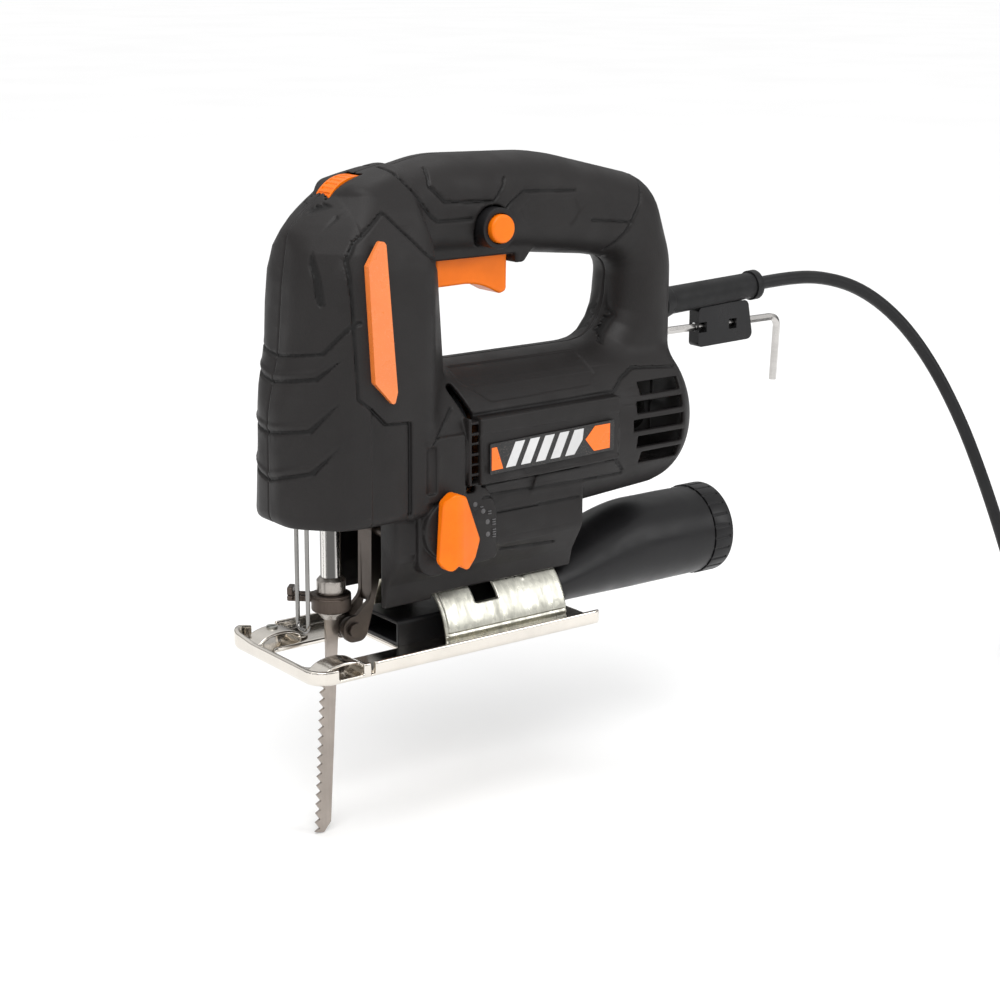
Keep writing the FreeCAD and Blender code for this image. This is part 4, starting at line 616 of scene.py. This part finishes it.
class Nodes:
    """Short calls for one material's node tree."""

    def __init__(self, name):
        self.material = bpy.data.materials.new(name)
        self.material.use_nodes = True
        self.tree = self.material.node_tree
        self.shader = self.tree.nodes["Principled BSDF"]
        self.place = self.add("ShaderNodeTexCoord").outputs["Object"]

    def add(self, kind, **settings):
        made = self.tree.nodes.new(kind)
        for key, value in settings.items():
            setattr(made, key, value)
        return made

    def link(self, source, target):
        self.tree.links.new(source, target)

    def stretched(self, scale, turn=(0, 0, 0)):
        mapping = self.add("ShaderNodeMapping")
        mapping.inputs["Scale"].default_value = scale
        mapping.inputs["Rotation"].default_value = turn
        self.link(self.place, mapping.inputs["Vector"])
        return mapping.outputs["Vector"]

    def noise(self, scale, detail=3.0, rough=0.55, where=None):
        made = self.add("ShaderNodeTexNoise")
        made.inputs["Scale"].default_value = scale
        made.inputs["Detail"].default_value = detail
        made.inputs["Roughness"].default_value = rough
        self.link(where or self.place, made.inputs["Vector"])
        return made.outputs["Fac"]

    def spread(self, value, low, high, start=0.3, end=0.7):
        made = self.add("ShaderNodeMapRange")
        made.inputs["From Min"].default_value = start
        made.inputs["From Max"].default_value = end
        made.inputs["To Min"].default_value = low
        made.inputs["To Max"].default_value = high
        self.link(value, made.inputs["Value"])
        return made.outputs["Result"]

    def blend(self, share, first, second):
        made = self.add("ShaderNodeMix", data_type="RGBA")
        self.link(share, made.inputs["Factor"])
        for colour, socket in ((first, made.inputs[6]), (second, made.inputs[7])):
            if hasattr(colour, "is_linked"):
                self.link(colour, socket)
            else:
                socket.default_value = (*colour[:3], 1)
        return made.outputs[2]

    def bump(self, height, strength, distance, before=None):
        made = self.add("ShaderNodeBump")
        made.inputs["Strength"].default_value = strength
        made.inputs["Distance"].default_value = distance * MM
        self.link(height, made.inputs["Height"])
        if before:
            self.link(before, made.inputs["Normal"])
        return made.outputs["Normal"]

    def finish(self, colour=None, rough=None, normal=None, metal=0.0, coat=0.0, level=0.5):
        ports = self.shader.inputs
        if colour is not None:
            if hasattr(colour, "is_linked"):
                self.link(colour, ports["Base Color"])
            else:
                ports["Base Color"].default_value = (*colour[:3], 1)
        if rough is not None:
            if hasattr(rough, "is_linked"):
                self.link(rough, ports["Roughness"])
            else:
                ports["Roughness"].default_value = rough
        if normal is not None:
            self.link(normal, ports["Normal"])
        ports["Metallic"].default_value = metal
        ports["Coat Weight"].default_value = coat
        ports["Coat Roughness"].default_value = 0.12
        ports["Specular IOR Level"].default_value = level
        return self.material


def scaled(colour, share):
    return tuple(min(1.0, c * share) for c in colour[:3])


def moulded(name, colour, grain=0.45, rough=0.5, groove=False):
    """Spark-textured moulded plastic: a fine grain in the surface, faint cloudy variation of colour
    and gloss, and, where the piece has groove marks, painted shade down in the grooves: the colour
    is darkened there, standing in for their shadow and for dirt."""
    n = Nodes(name)
    fine = n.noise(1500, 2.0, 0.6)
    cloud = n.noise(28, 4.0, 0.6)
    speck = n.noise(5200, 1.0)
    tone = n.blend(n.spread(cloud, 0, 1), scaled(colour, 0.82), scaled(colour, 1.2))
    tone = n.blend(n.spread(speck, 0, 0.35, 0.45, 0.8), tone, scaled(colour, 1.7))
    # Painted shade: the colour is darkened down in the grooves, read from the groove attribute, for their
    # shadow as well as dirt.
    if groove:
        mark = n.add("ShaderNodeAttribute", attribute_name="groove").outputs["Fac"]
        tone = n.blend(n.spread(mark, 0, 0.9, 0.1, 0.9), tone, scaled(colour, 0.22))
    gloss = n.spread(n.noise(75, 3.0), rough - 0.07, rough + 0.08)
    normal = n.bump(fine, grain, 0.12)
    normal = n.bump(n.noise(9, 2.0), 0.08, 1.0, normal)
    return n.finish(tone, gloss, normal, level=0.28)


def glossy(name, colour, rough=0.28, coat=0.25):
    """Smooth coloured plastic with slight waviness, faint dust specks and a clear sheen."""
    n = Nodes(name)
    cloud = n.noise(45, 3.0)
    tone = n.blend(n.spread(cloud, 0, 1), scaled(colour, 0.93), scaled(colour, 1.06))
    dust = n.noise(2600, 1.0)
    tone = n.blend(n.spread(dust, 0, 0.12, 0.62, 0.75), tone, (0.9, 0.75, 0.6))
    gloss = n.spread(n.noise(160, 3.0), rough - 0.05, rough + 0.07)
    normal = n.bump(n.noise(900, 2.0), 0.08, 0.05)
    normal = n.bump(n.noise(30, 1.0), 0.1, 0.4, normal)
    return n.finish(tone, gloss, normal, coat=coat)


def metal(name, colour, rough=0.25, grain=(60, 60, 900), turn=(0, 0, 0), depth=0.12, smudge=0.1):
    """Metal with a directional grain: noise stretched along the working direction bends the
    reflections, and slow smudges change how sharp they are."""
    n = Nodes(name)
    streak = n.noise(1.0, 4.0, 0.6, n.stretched(grain, turn))
    cloud = n.noise(60, 4.0, 0.6)
    tone = n.blend(n.spread(cloud, 0, 1), scaled(colour, 0.86), scaled(colour, 1.07))
    tone = n.blend(n.spread(streak, 0, 0.4), tone, scaled(colour, 0.75))
    gloss = n.spread(n.noise(35, 5.0, 0.65), max(0.04, rough - smudge), rough + smudge)
    normal = n.bump(streak, depth, 0.05)
    normal = n.bump(n.noise(25, 2.0), 0.05, 0.5, normal)
    return n.finish(tone, gloss, normal, metal=1.0)


def turned(name, colour):
    """Ground and hardened round steel with painted reflections: bright and dark bands along its length
    round the plunger's line stand in for the studio's reflections, with fine rings of grinding."""
    n = Nodes(name)
    # Painted reflections: the colour runs from dark to bright in four bands round the rod.
    split = n.add("ShaderNodeSeparateXYZ")
    n.link(n.place, split.inputs["Vector"])
    turn = n.add("ShaderNodeMath", operation="ARCTAN2")
    n.link(split.outputs["Y"], turn.inputs[0])
    n.link(split.outputs["X"], turn.inputs[1])
    wave = n.add("ShaderNodeMath", operation="MULTIPLY_ADD")
    n.link(turn.outputs[0], wave.inputs[0])
    wave.inputs[1].default_value = 4
    wave.inputs[2].default_value = 0.6
    band = n.add("ShaderNodeMath", operation="SINE")
    n.link(wave.outputs[0], band.inputs[0])
    tone = n.blend(n.spread(band.outputs[0], 0, 1, -0.2, 0.9), scaled(colour, 0.12), colour)
    gloss = n.spread(n.noise(80, 3.0), 0.14, 0.24)
    return n.finish(tone, gloss, n.bump(n.noise(900, 2.0), 0.02, 0.05), metal=1.0)


def knurled(name, colour):
    """Brown phosphated steel with straight knurling round the plunger's line and worn, brighter
    patches."""
    n = Nodes(name)
    split = n.add("ShaderNodeSeparateXYZ")
    n.link(n.place, split.inputs["Vector"])
    turn = n.add("ShaderNodeMath", operation="ARCTAN2")
    n.link(split.outputs["Y"], turn.inputs[0])
    n.link(split.outputs["X"], turn.inputs[1])
    wave = n.add("ShaderNodeMath", operation="MULTIPLY")
    n.link(turn.outputs[0], wave.inputs[0])
    wave.inputs[1].default_value = 84
    ridge = n.add("ShaderNodeMath", operation="SINE")
    n.link(wave.outputs[0], ridge.inputs[0])
    tone = n.blend(n.spread(n.noise(180, 4.0), 0, 1), scaled(colour, 0.7), scaled(colour, 1.25))
    tone = n.blend(n.spread(ridge.outputs[0], 0, 0.35, -1, 1), scaled(colour, 0.75), tone)
    gloss = n.spread(n.noise(90, 3.0), 0.3, 0.45)
    return n.finish(tone, gloss, n.bump(ridge.outputs[0], 0.35, 0.12), metal=1.0)


def galvanised(name, colour):
    """Rolled zinc plate: fine crystals of different tone, vertical drawing streaks and dull patches."""
    n = Nodes(name)
    cells = n.add("ShaderNodeTexVoronoi")
    cells.inputs["Scale"].default_value = 420
    n.link(n.place, cells.inputs["Vector"])
    tint = n.add("ShaderNodeSeparateColor")
    n.link(cells.outputs["Color"], tint.inputs["Color"])
    streak = n.noise(1.0, 5.0, 0.65, n.stretched((260, 45, 45)))
    tone = n.blend(n.spread(tint.outputs[0], 0, 1, 0, 1), scaled(colour, 0.8), scaled(colour, 1.12))
    tone = n.blend(n.spread(streak, 0, 0.75), tone, scaled(colour, 0.42))
    gloss = n.spread(streak, 0.2, 0.46)
    normal = n.bump(streak, 0.3, 0.12)
    normal = n.bump(n.noise(40, 3.0), 0.2, 0.6, normal)
    return n.finish(tone, gloss, normal, metal=1.0)


def rubbery(name, colour, rough=0.55):
    """Soft black rubber or cable sheath: dull, with fine pores and a faint waxy bloom."""
    n = Nodes(name)
    tone = n.blend(n.spread(n.noise(50, 4.0), 0, 1), scaled(colour, 0.75), scaled(colour, 1.45))
    gloss = n.spread(n.noise(220, 3.0), rough - 0.08, rough + 0.08)
    normal = n.bump(n.noise(1800, 2.0), 0.12, 0.06)
    return n.finish(tone, gloss, normal, level=0.28)


def wound(name, colour):
    """Enamelled wire laid side by side: close ridges round the motor's line."""
    n = Nodes(name)
    wires = n.add("ShaderNodeTexWave", wave_type="BANDS", bands_direction="X")
    wires.inputs["Scale"].default_value = 520
    wires.inputs["Distortion"].default_value = 0.8
    n.link(n.place, wires.inputs["Vector"])
    tone = n.blend(wires.outputs["Fac"], scaled(colour, 0.4), scaled(colour, 1.1))
    return n.finish(tone, 0.3, n.bump(wires.outputs["Fac"], 0.8, 0.3), metal=0.8)


def leafed(name, colour):
    """Stacked sheet steel: thin dark lines between the leaves along the motor's line."""
    n = Nodes(name)
    leaves = n.add("ShaderNodeTexWave", wave_type="BANDS", bands_direction="X")
    leaves.inputs["Scale"].default_value = 900
    n.link(n.place, leaves.inputs["Vector"])
    tone = n.blend(leaves.outputs["Fac"], scaled(colour, 0.5), scaled(colour, 1.1))
    tone = n.blend(n.spread(n.noise(90), 0, 0.4), tone, (0.16, 0.12, 0.1))
    return n.finish(tone, 0.42, n.bump(leaves.outputs["Fac"], 0.5, 0.1), metal=0.9)


# ------------------------------------------------------------------ what a user would change


def colour_value(name, text, value):
    return bpy.props.FloatVectorProperty(name=name, description=text, subtype="COLOR", size=3, min=0, max=1,
                                         default=value)


def millimetres(name, words, value, low, high):
    """One size of the looks as a property, in millimetres."""
    return bpy.props.FloatProperty(name=name, description=words + " in mm", default=value, min=low, max=high)


class JigsawColours(bpy.types.PropertyGroup):
    """The colours of the tool's plastics and metals."""

    housing: colour_value("Housing", "Charcoal of the moulded housing", (0.0115, 0.0100, 0.0098))
    orange: colour_value("Controls", "Orange of the dial, trigger, button and lever", (0.94, 0.165, 0.0005))
    accent: colour_value("Inlay", "Lighter orange of the long inlay on the head", (0.78, 0.19, 0.032))
    black: colour_value("Black parts", "Dust tube, duct, clip and collar", (0.0085, 0.0082, 0.009))
    rubber: colour_value("Rubber", "Cable sheath, sleeve and plug", (0.0065, 0.0065, 0.007))
    nickel: colour_value("Sole", "Warm nickel plate of the sole", (0.80, 0.755, 0.69))
    zinc: colour_value("Bracket", "Galvanised plate of the tilting bracket", (0.76, 0.75, 0.66))
    chrome: colour_value("Rod", "Polished rod and wires", (0.82, 0.80, 0.77))
    blade: colour_value("Blade", "Ground blade steel", (0.40, 0.355, 0.32))
    dark_steel: colour_value("Clamp", "Dark phosphated steel of the roller fork and saddle",
                             (0.11, 0.093, 0.082))
    mark: colour_value("Label", "Pale bars on the label", (0.62, 0.62, 0.62))


class JigsawSizes(bpy.types.PropertyGroup):
    """Sizes of the looks, in millimetres."""

    surface_step: millimetres("Surface step", "Spacing of the housing mesh", 0.75, 0.5, 3)
    wall: millimetres("Wall", "Wall of the housing", 2.6, 1, 5)
    groove_depth: millimetres("Groove depth", "Depth of the lines in the housing", 0.75, 0.1, 2)
    seam_gap: millimetres("Seam gap", "Half the gap between the housing halves", 0.07, 0.0, 0.5)
    cord_width: millimetres("Cord", "Diameter of the mains cord", 6.0, 4, 10)
    label_rise: millimetres("Label marks", "Height of the label's marks", 0.12, 0.02, 1)


# ------------------------------------------------------------------ operators


class JIGSAW_OT_view(bpy.types.Operator):
    """Place the camera at the front left of the tool, a little above it"""

    bl_idname = "jigsaw.view"
    bl_label = "Camera"

    def execute(self, context):
        turn, rise, roll = np.radians([36.98, 14.80, 0.25])
        back = np.array([-np.sin(turn) * np.cos(rise), -np.cos(turn) * np.cos(rise), np.sin(rise)])
        right = np.array([np.cos(turn), -np.sin(turn), 0.0])
        up = np.cross(back, right)
        eye = (back * 873.3 + right * 67.9 + up * 62.7) * MM
        across = np.cos(roll) * right + np.sin(roll) * up
        above = -np.sin(roll) * right + np.cos(roll) * up
        lens = bpy.data.cameras.new("view")
        lens.lens = 77.4
        lens.sensor_width = 36
        lens.clip_start = 0.05
        lens.clip_end = 20
        camera = bpy.data.objects.new("view", lens)
        context.scene.collection.objects.link(camera)
        pose = np.eye(4)
        pose[:3, 0], pose[:3, 1], pose[:3, 2], pose[:3, 3] = across, above, back, eye
        camera.matrix_world = Matrix(pose.tolist())
        context.scene.camera = camera
        return {"FINISHED"}


CORD_ROUTE = [
    (0.2290, 0.0, 0.1301), (0.2480, 0.0, 0.1312), (0.2700, -0.0010, 0.1300), (0.2930, -0.0040, 0.1230),
    (0.3140, -0.0090, 0.1080), (0.3310, -0.0160, 0.0860), (0.3440, -0.0250, 0.0580),
    (0.3540, -0.0320, 0.0300), (0.3630, -0.0380, 0.0020), (0.3710, -0.0440, -0.0270),
    (0.3790, -0.0530, -0.0520), (0.3870, -0.0660, -0.0680), (0.3980, -0.0810, -0.0732),
    (0.4100, -0.0880, -0.0734),
]
COIL_MIDDLE = (0.434, -0.048)
PLUG_END = (0.464, -0.0600, -0.0528)


def coil_route():
    """The stored length: in at the foot, three layers of a flat spiral that winds in, out and in
    again, sixteen points a turn, then over the top and into the plug's sleeve."""
    turns = np.arange(0.09, 7.21, 1 / 16)
    ring = np.interp(turns, [0, 0.3, 2.5, 5.0, 6.9, 7.3], [42.5, 39.0, 27.0, 39.0, 32.0, 31.0])
    height = np.interp(turns, [0, 2.42, 2.62, 4.9, 5.1, 6.6, 7.0, 7.3],
                       [-73.3, -73.3, -66.9, -66.9, -60.5, -60.5, -53.4, -52.8])
    angle = np.radians(-131) + 2 * np.pi * turns
    x = COIL_MIDDLE[0] + ring * MM * np.cos(angle)
    y = COIL_MIDDLE[1] + ring * MM * np.sin(angle)
    return np.stack([x, y, height * MM], 1)


class JIGSAW_OT_cord(bpy.types.Operator):
    """Lay the mains cord from the rear sleeve down to the surface and into its coil"""

    bl_idname = "jigsaw.cord"
    bl_label = "Cord and plug"

    def execute(self, context):
        sizes = context.scene.jigsaw_sizes
        colours = context.scene.jigsaw_colours
        route = np.vstack([CORD_ROUTE, coil_route(), [PLUG_END]])
        curve = bpy.data.curves.new("mains_cord", "CURVE")
        curve.dimensions = "3D"
        spline = curve.splines.new("NURBS")
        spline.points.add(len(route) - 1)
        spline.points.foreach_set("co", np.column_stack([route, np.ones(len(route))]).ravel())
        spline.order_u = 3
        spline.use_endpoint_u = True
        spline.resolution_u = 6
        curve.bevel_depth = sizes.cord_width * MM / 2
        curve.bevel_resolution = 5
        curve.use_fill_caps = True
        cord = bpy.data.objects.new("mains_cord", curve)
        context.scene.collection.objects.link(cord)
        sheath = rubbery("cable_sheath", colours.rubber, 0.42)
        curve.materials.append(sheath)
        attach(cord, "housing")
        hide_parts("cord", "cord_coil")
        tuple(CORD_ROUTE[0])
        paint(NODES["plug"], rubbery("plug_body", colours.rubber, 0.45))
        soften(NODES["plug"], 0.4)
        paint(NODES["plug_pins"], metal("plug_pin", colours.chrome, 0.18))
        paint(NODES["coil_tie"], rubbery("hook_and_loop", (0.03, 0.03, 0.034), 0.85))
        paint(NODES["cord_boot"], rubbery("cable_sleeve", colours.rubber, 0.5))
        soften(NODES["cord_boot"], 0.5)
        return {"FINISHED"}


class JIGSAW_OT_housing(bpy.types.Operator):
    """Mould the two halves of the housing, with their grooves, pads, vents and openings"""

    bl_idname = "jigsaw.housing"
    bl_label = "Housing halves"

    def execute(self, context):
        sizes = context.scene.jigsaw_sizes
        colours = context.scene.jigsaw_colours
        # groove=True paints shade down in the housing's grooves.
        skin = moulded("charcoal_housing", colours.housing, groove=True)
        for word in ("left", "right"):
            half = housing_mesh("shell_" + word, word == "left", sizes)
            paint(half, skin)
            stand_in(half, "housing", "housing_" + word)
        for node in ("accent_left", "accent_right"):
            paint(NODES[node], glossy("head_inlay", colours.accent, 0.3, 0.4))
            soften(NODES[node], 0.3)
        paint(NODES["housing_screws"], metal("black_screw", (0.18, 0.175, 0.17), 0.35))
        return {"FINISHED"}


LABEL_SHAPES = {
    "label_wedge": [[(54.5, 75.6), (60.2, 75.8), (57.0, 85.0), (54.5, 84.9)]],
    "label_arrow": [[(107.6, 86.9), (115.6, 87.0), (115.6, 76.6), (107.2, 76.4), (102.6, 81.8)]],
    "label_bars": [[(61.6, 75.9), (66.4, 76.0), (71.2, 86.0), (66.4, 85.9)],
                   [(69.2, 76.0), (74.0, 76.1), (78.8, 86.2), (74.0, 86.1)],
                   [(76.8, 76.1), (81.6, 76.2), (86.4, 86.4), (81.6, 86.3)],
                   [(84.4, 76.2), (89.2, 76.3), (94.0, 86.6), (89.2, 86.5)],
                   [(92.0, 76.3), (96.8, 76.4), (101.0, 82.0), (101.6, 86.7), (96.8, 86.6)]],
}


class JIGSAW_OT_label(bpy.types.Operator):
    """Print the plain label on both flanks of the barrel: a wedge, slanted bars and an arrow block"""

    bl_idname = "jigsaw.label"
    bl_label = "Label"

    def execute(self, context):
        sizes = context.scene.jigsaw_sizes
        colours = context.scene.jigsaw_colours
        for side, word in ((-1, "left"), (1, "right")):
            low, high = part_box("badge_" + word)
            face = (high.y if side > 0 else low.y) / MM
            for name, outlines in LABEL_SHAPES.items():
                points, faces = [], []
                for outline in outlines:
                    flat = np.array(outline)
                    if side > 0:
                        flat = flat * [-1, 1] + [2 * 85.9, 0]
                    base = len(points)
                    count = len(flat)
                    rows = [np.column_stack([flat[:, 0], np.full(count, face + side * rise), flat[:, 1]])
                            for rise in (-0.1, sizes.label_rise)]
                    points += np.vstack(rows).tolist()
                    ring = base + np.arange(count)
                    after = base + (np.arange(count) + 1) % count
                    faces += [ring.tolist(), (ring + count).tolist()[::-1]]
                    faces += np.stack([ring, ring + count, after + count, after], 1).tolist()
                mesh = bpy.data.meshes.new(name + "_" + word)
                mesh.from_pydata((np.array(points) * MM).tolist(), [], faces)
                mesh.update()
                piece = bpy.data.objects.new(name + "_" + word, mesh)
                context.scene.collection.objects.link(piece)
                facing_out(piece)
                tint = colours.mark if name == "label_bars" else colours.orange
                paint(piece, glossy(name, tint, 0.3, 0.1))
                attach(piece, "housing")
            paint(NODES["badge_" + word], glossy("label_plate", scaled(colours.black, 0.8), 0.4, 0.0))
        return {"FINISHED"}


def facing_out(piece):
    """The piece's faces are turned to point outwards."""
    work = bmesh.new()
    work.from_mesh(piece.data)
    bmesh.ops.recalc_face_normals(work, faces=work.faces)
    work.to_mesh(piece.data)
    work.free()


def dress(names, material, width=0.0):
    """Some CAD nodes get one material and, where a width is given, softened edges."""
    for name in names:
        paint(NODES[name], material)
        if width:
            soften(NODES[name], width)


def stand_in(piece, body, node):
    """The piece moves with a body and is shown in place of a CAD node."""
    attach(piece, body)
    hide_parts(node)


class JIGSAW_OT_controls(bpy.types.Operator):
    """Finish the speed dial, trigger, lock button and orbital lever"""

    bl_idname = "jigsaw.controls"
    bl_label = "Dial, trigger, button and lever"

    def execute(self, context):
        colours = context.scene.jigsaw_colours
        orange = moulded("orange_control", colours.orange, grain=0.12, rough=0.38)
        dress(["speed_dial", "trigger", "lock_button"], orange, 0.3)
        grip, _ = sculpt("lever_grip", lever_grip, (24, -43, 36), (49, -33, 73), 0.45)
        stand_in(grip, "orbit", "orbit_lever")
        paint(grip, moulded("orange_lever", colours.orange, grain=0.15, rough=0.36))
        marks, _ = sculpt("setting_marks", setting_marks, (46, -32, 44), (62, -30, 65), 0.22)
        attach(marks, "housing")
        paint(marks, moulded("mark_grey", (0.09, 0.088, 0.09), 0.05, 0.4))
        dress(["button_collar"], moulded("black_collar", colours.black, 0.2, 0.45), 0.3)
        dress(["power_switch"], moulded("switch_case", (0.06, 0.06, 0.066), 0.2, 0.45), 0.3)
        dress(["speed_board"], glossy("circuit_board", (0.03, 0.12, 0.05), 0.35, 0.2))
        bright = metal("bright_steel", (0.55, 0.54, 0.52), 0.25)
        dress(["orbit_shaft", "trigger_pin", "trigger_spring"], bright)
        return {"FINISHED"}


class JIGSAW_OT_sole(bpy.types.Operator):
    """Finish the sole, its straps and the tilting bracket"""

    bl_idname = "jigsaw.sole"
    bl_label = "Sole and bracket"

    def execute(self, context):
        colours = context.scene.jigsaw_colours
        nickel = metal("nickel_plate", colours.nickel, 0.17, (30, 30, 30), depth=0.03)
        step = 0.55
        sole, _ = sculpt("sole_tray", pressed_sole, (-31, -36, -1), (115, 36, 11), step)
        stand_in(sole, "sole", "sole_plate")
        paint(sole, nickel)
        bridges, _ = sculpt("fence_bridges", fence_bridges, (-26, -31, 0), (1, 31, 9), 0.5)
        stand_in(bridges, "sole", "fence_straps")
        paint(bridges, nickel)
        dress(["fence_screw", "clamp_bolts"], metal("zinc_screw", (0.5, 0.5, 0.47), 0.32), 0.2)
        zinc = galvanised("galvanised_plate", colours.zinc)
        bracket, _ = sculpt("tilting_bracket", bracket_shell, (36, -33, 1), (101, 33, 32), 0.6)
        stand_in(bracket, "sole", "tilt_bracket")
        paint(bracket, zinc)
        dress(["clamp_saddle"], metal("saddle_steel", colours.dark_steel, 0.4, (200, 200, 200)), 0.2)
        return {"FINISHED"}


class JIGSAW_OT_dust(bpy.types.Operator):
    """Finish the dust duct, tube and outlet"""

    bl_idname = "jigsaw.dust"
    bl_label = "Dust extraction"

    def execute(self, context):
        colours = context.scene.jigsaw_colours
        satin = moulded("satin_black", colours.black, grain=0.1, rough=0.36)
        dress(["dust_tube"], satin)
        dress(["dust_cap"], satin, 0.3)
        dress(["dust_duct"], satin, 0.4)
        dress(["key_clip"], moulded("clip_black", colours.black, 0.15, 0.32), 0.4)
        dress(["hex_key"], metal("bright_key", (0.62, 0.6, 0.58), 0.22))
        return {"FINISHED"}


class JIGSAW_OT_drive(bpy.types.Operator):
    """Finish the plunger, clamp, blade, roller, wire guard, motor and gears"""

    bl_idname = "jigsaw.drive"
    bl_label = "Drive and blade"

    def execute(self, context):
        colours = context.scene.jigsaw_colours
        # The plunger's rod carries painted reflections: bright and dark bands in its colour.
        dress(["plunger"], turned("rod_painted_reflections", colours.chrome))
        wire = scaled(colours.chrome, 0.34)
        dress(["wire_guard"], metal("drawn_wire", wire, 0.2, (40, 40, 40), depth=0.02))
        dress(["blade_holder"], metal("holder_steel", (0.42, 0.39, 0.36), 0.3, (80, 80, 500)), 0.25)
        ring, _ = sculpt("clamp_collar", clamp_collar, (-17, -13, 18), (10, 17, 30), 0.35)
        stand_in(ring, "clamp", "clamp_ring")
        paint(ring, knurled("phosphate_clamp", (0.13, 0.105, 0.09)))
        dress(["blade"], metal("ground_blade", colours.blade, 0.34, (700, 60, 60), depth=0.2))
        dress(["pendulum_fork", "guide_roller", "roller_pin", "fork_pivot"],
              metal("dark_phosphate", colours.dark_steel, 0.38, (200, 200, 200)), 0.2)
        dress(["gear_case"], metal("cast_alloy", (0.5, 0.5, 0.51), 0.5, (400, 400, 400), depth=0.3))
        steel = metal("ground_steel", (0.5, 0.49, 0.475), 0.28)
        dress(["armature_shaft", "crank_pin", "gear_stud", "front_bearing", "rear_bearing", "pinion"], steel)
        dress(["drive_gear"], metal("sintered_gear", (0.36, 0.35, 0.34), 0.42, (500, 500, 500)))
        dress(["upper_bush", "lower_bush"], metal("sintered_bronze", (0.5, 0.34, 0.16), 0.4))
        dress(["brush_holders"], metal("brush_brass", (0.72, 0.53, 0.22), 0.25))
        dress(["carbon_brushes"], rubbery("carbon", (0.03, 0.03, 0.03), 0.6))
        dress(["commutator"], wound("commutator_copper", (0.72, 0.36, 0.18)))
        dress(["field_coils"], wound("field_winding", (0.6, 0.24, 0.09)))
        dress(["armature_core", "stator_core"], leafed("sheet_steel_stack", (0.3, 0.3, 0.31)))
        dress(["fan"], moulded("fan_plastic", (0.05, 0.05, 0.055), 0.1, 0.4))
        return {"FINISHED"}


def lamp(name, place, aim, power, wide, tall):
    """A rectangular soft light that faces a point."""
    light = bpy.data.lights.new(name, "AREA")
    light.shape = "RECTANGLE"
    light.size = wide
    light.size_y = tall
    light.energy = power
    made = bpy.data.objects.new(name, light)
    made.location = place
    made.rotation_euler = (Vector(place) - Vector(aim)).to_track_quat("Z", "Y").to_euler()
    bpy.context.scene.collection.objects.link(made)


class JIGSAW_OT_stage(bpy.types.Operator):
    """Set the pale floor and the soft studio lights"""

    bl_idname = "jigsaw.stage"
    bl_label = "Studio"

    def execute(self, context):
        edge = np.linspace(-60, 60, 25)
        x, y = np.meshgrid(edge, edge, indexing="ij")
        z = np.full_like(x, FLOOR_HEIGHT * MM - 0.0002)
        floor = new_mesh("studio_floor", np.stack([x, y, z], -1).reshape(-1, 3),
                         grid_faces(25, 25)[:, ::-1])
        n = Nodes("studio_paper")
        tone = n.blend(n.spread(n.noise(3), 0, 1), (0.90, 0.90, 0.90), (0.93, 0.93, 0.93))
        paint(floor, n.finish(tone, 0.6, level=0.2))
        world = bpy.data.worlds.new("studio")
        world.use_nodes = True
        tree = world.node_tree
        place = tree.nodes.new("ShaderNodeTexCoord")
        split = tree.nodes.new("ShaderNodeSeparateXYZ")
        tree.links.new(place.outputs["Generated"], split.inputs["Vector"])
        ramp = tree.nodes.new("ShaderNodeMapRange")
        ramp.inputs["From Min"].default_value = 0.0
        ramp.inputs["From Max"].default_value = 0.6
        ramp.inputs["To Min"].default_value = 0.12
        ramp.inputs["To Max"].default_value = 0.85
        tree.links.new(split.outputs["Z"], ramp.inputs["Value"])
        tree.nodes["Background"].inputs["Color"].default_value = (1, 1, 1, 1)
        tree.links.new(ramp.outputs["Result"], tree.nodes["Background"].inputs["Strength"])
        context.scene.world = world
        context.scene.view_settings.view_transform = "Standard"
        lamp("key", (-0.7, -1.2, 1.2), (0.05, 0, 0.06), 2.4, 0.6, 0.6)
        lamp("side", (1.0, -1.2, 0.7), (0.08, 0, 0.06), 4.5, 0.4, 0.9)
        lamp("front", (-1.3, -0.1, 0.4), (0, 0, 0.06), 1.2, 0.2, 0.9)
        lamp("top", (0.1, 0.3, 1.4), (0.05, 0, 0.1), 3.5, 1.2, 0.4)
        sky = bpy.data.lights.new("sky", "SUN")
        sky.energy = 1.5
        sky.angle = 0.7
        sun = bpy.data.objects.new("sky", sky)
        sun.rotation_euler = Vector((-0.45, -0.55, 1)).to_track_quat("Z", "Y").to_euler()
        context.scene.collection.objects.link(sun)
        return {"FINISHED"}


class JIGSAW_PT_panel(bpy.types.Panel):
    """The jigsaw's sizes, colours and build steps"""

    bl_label = "Jigsaw"
    bl_idname = "JIGSAW_PT_panel"
    bl_space_type = "VIEW_3D"
    bl_region_type = "UI"
    bl_category = "Jigsaw"

    def draw(self, context):
        for group in (context.scene.jigsaw_sizes, context.scene.jigsaw_colours):
            for field in group.bl_rna.properties:
                if not field.is_readonly and field.identifier != "name":
                    self.layout.prop(group, field.identifier)
        for step in STEPS:
            self.layout.operator(step.bl_idname)


STEPS = (JIGSAW_OT_view, JIGSAW_OT_cord, JIGSAW_OT_housing, JIGSAW_OT_label, JIGSAW_OT_controls,
         JIGSAW_OT_sole, JIGSAW_OT_dust, JIGSAW_OT_drive, JIGSAW_OT_stage)
CLASSES = (JigsawColours, JigsawSizes, *STEPS, JIGSAW_PT_panel)


def register():
    for item in CLASSES:
        bpy.utils.register_class(item)
    bpy.types.Scene.jigsaw_colours = bpy.props.PointerProperty(type=JigsawColours)
    bpy.types.Scene.jigsaw_sizes = bpy.props.PointerProperty(type=JigsawSizes)


def unregister():
    del bpy.types.Scene.jigsaw_sizes
    del bpy.types.Scene.jigsaw_colours
    for item in reversed(CLASSES):
        bpy.utils.unregister_class(item)


def main():
    register()
    for step in STEPS:
        group, name = step.bl_idname.split(".")
        getattr(getattr(bpy.ops, group), name)()


if __name__ == "__main__":
    main()
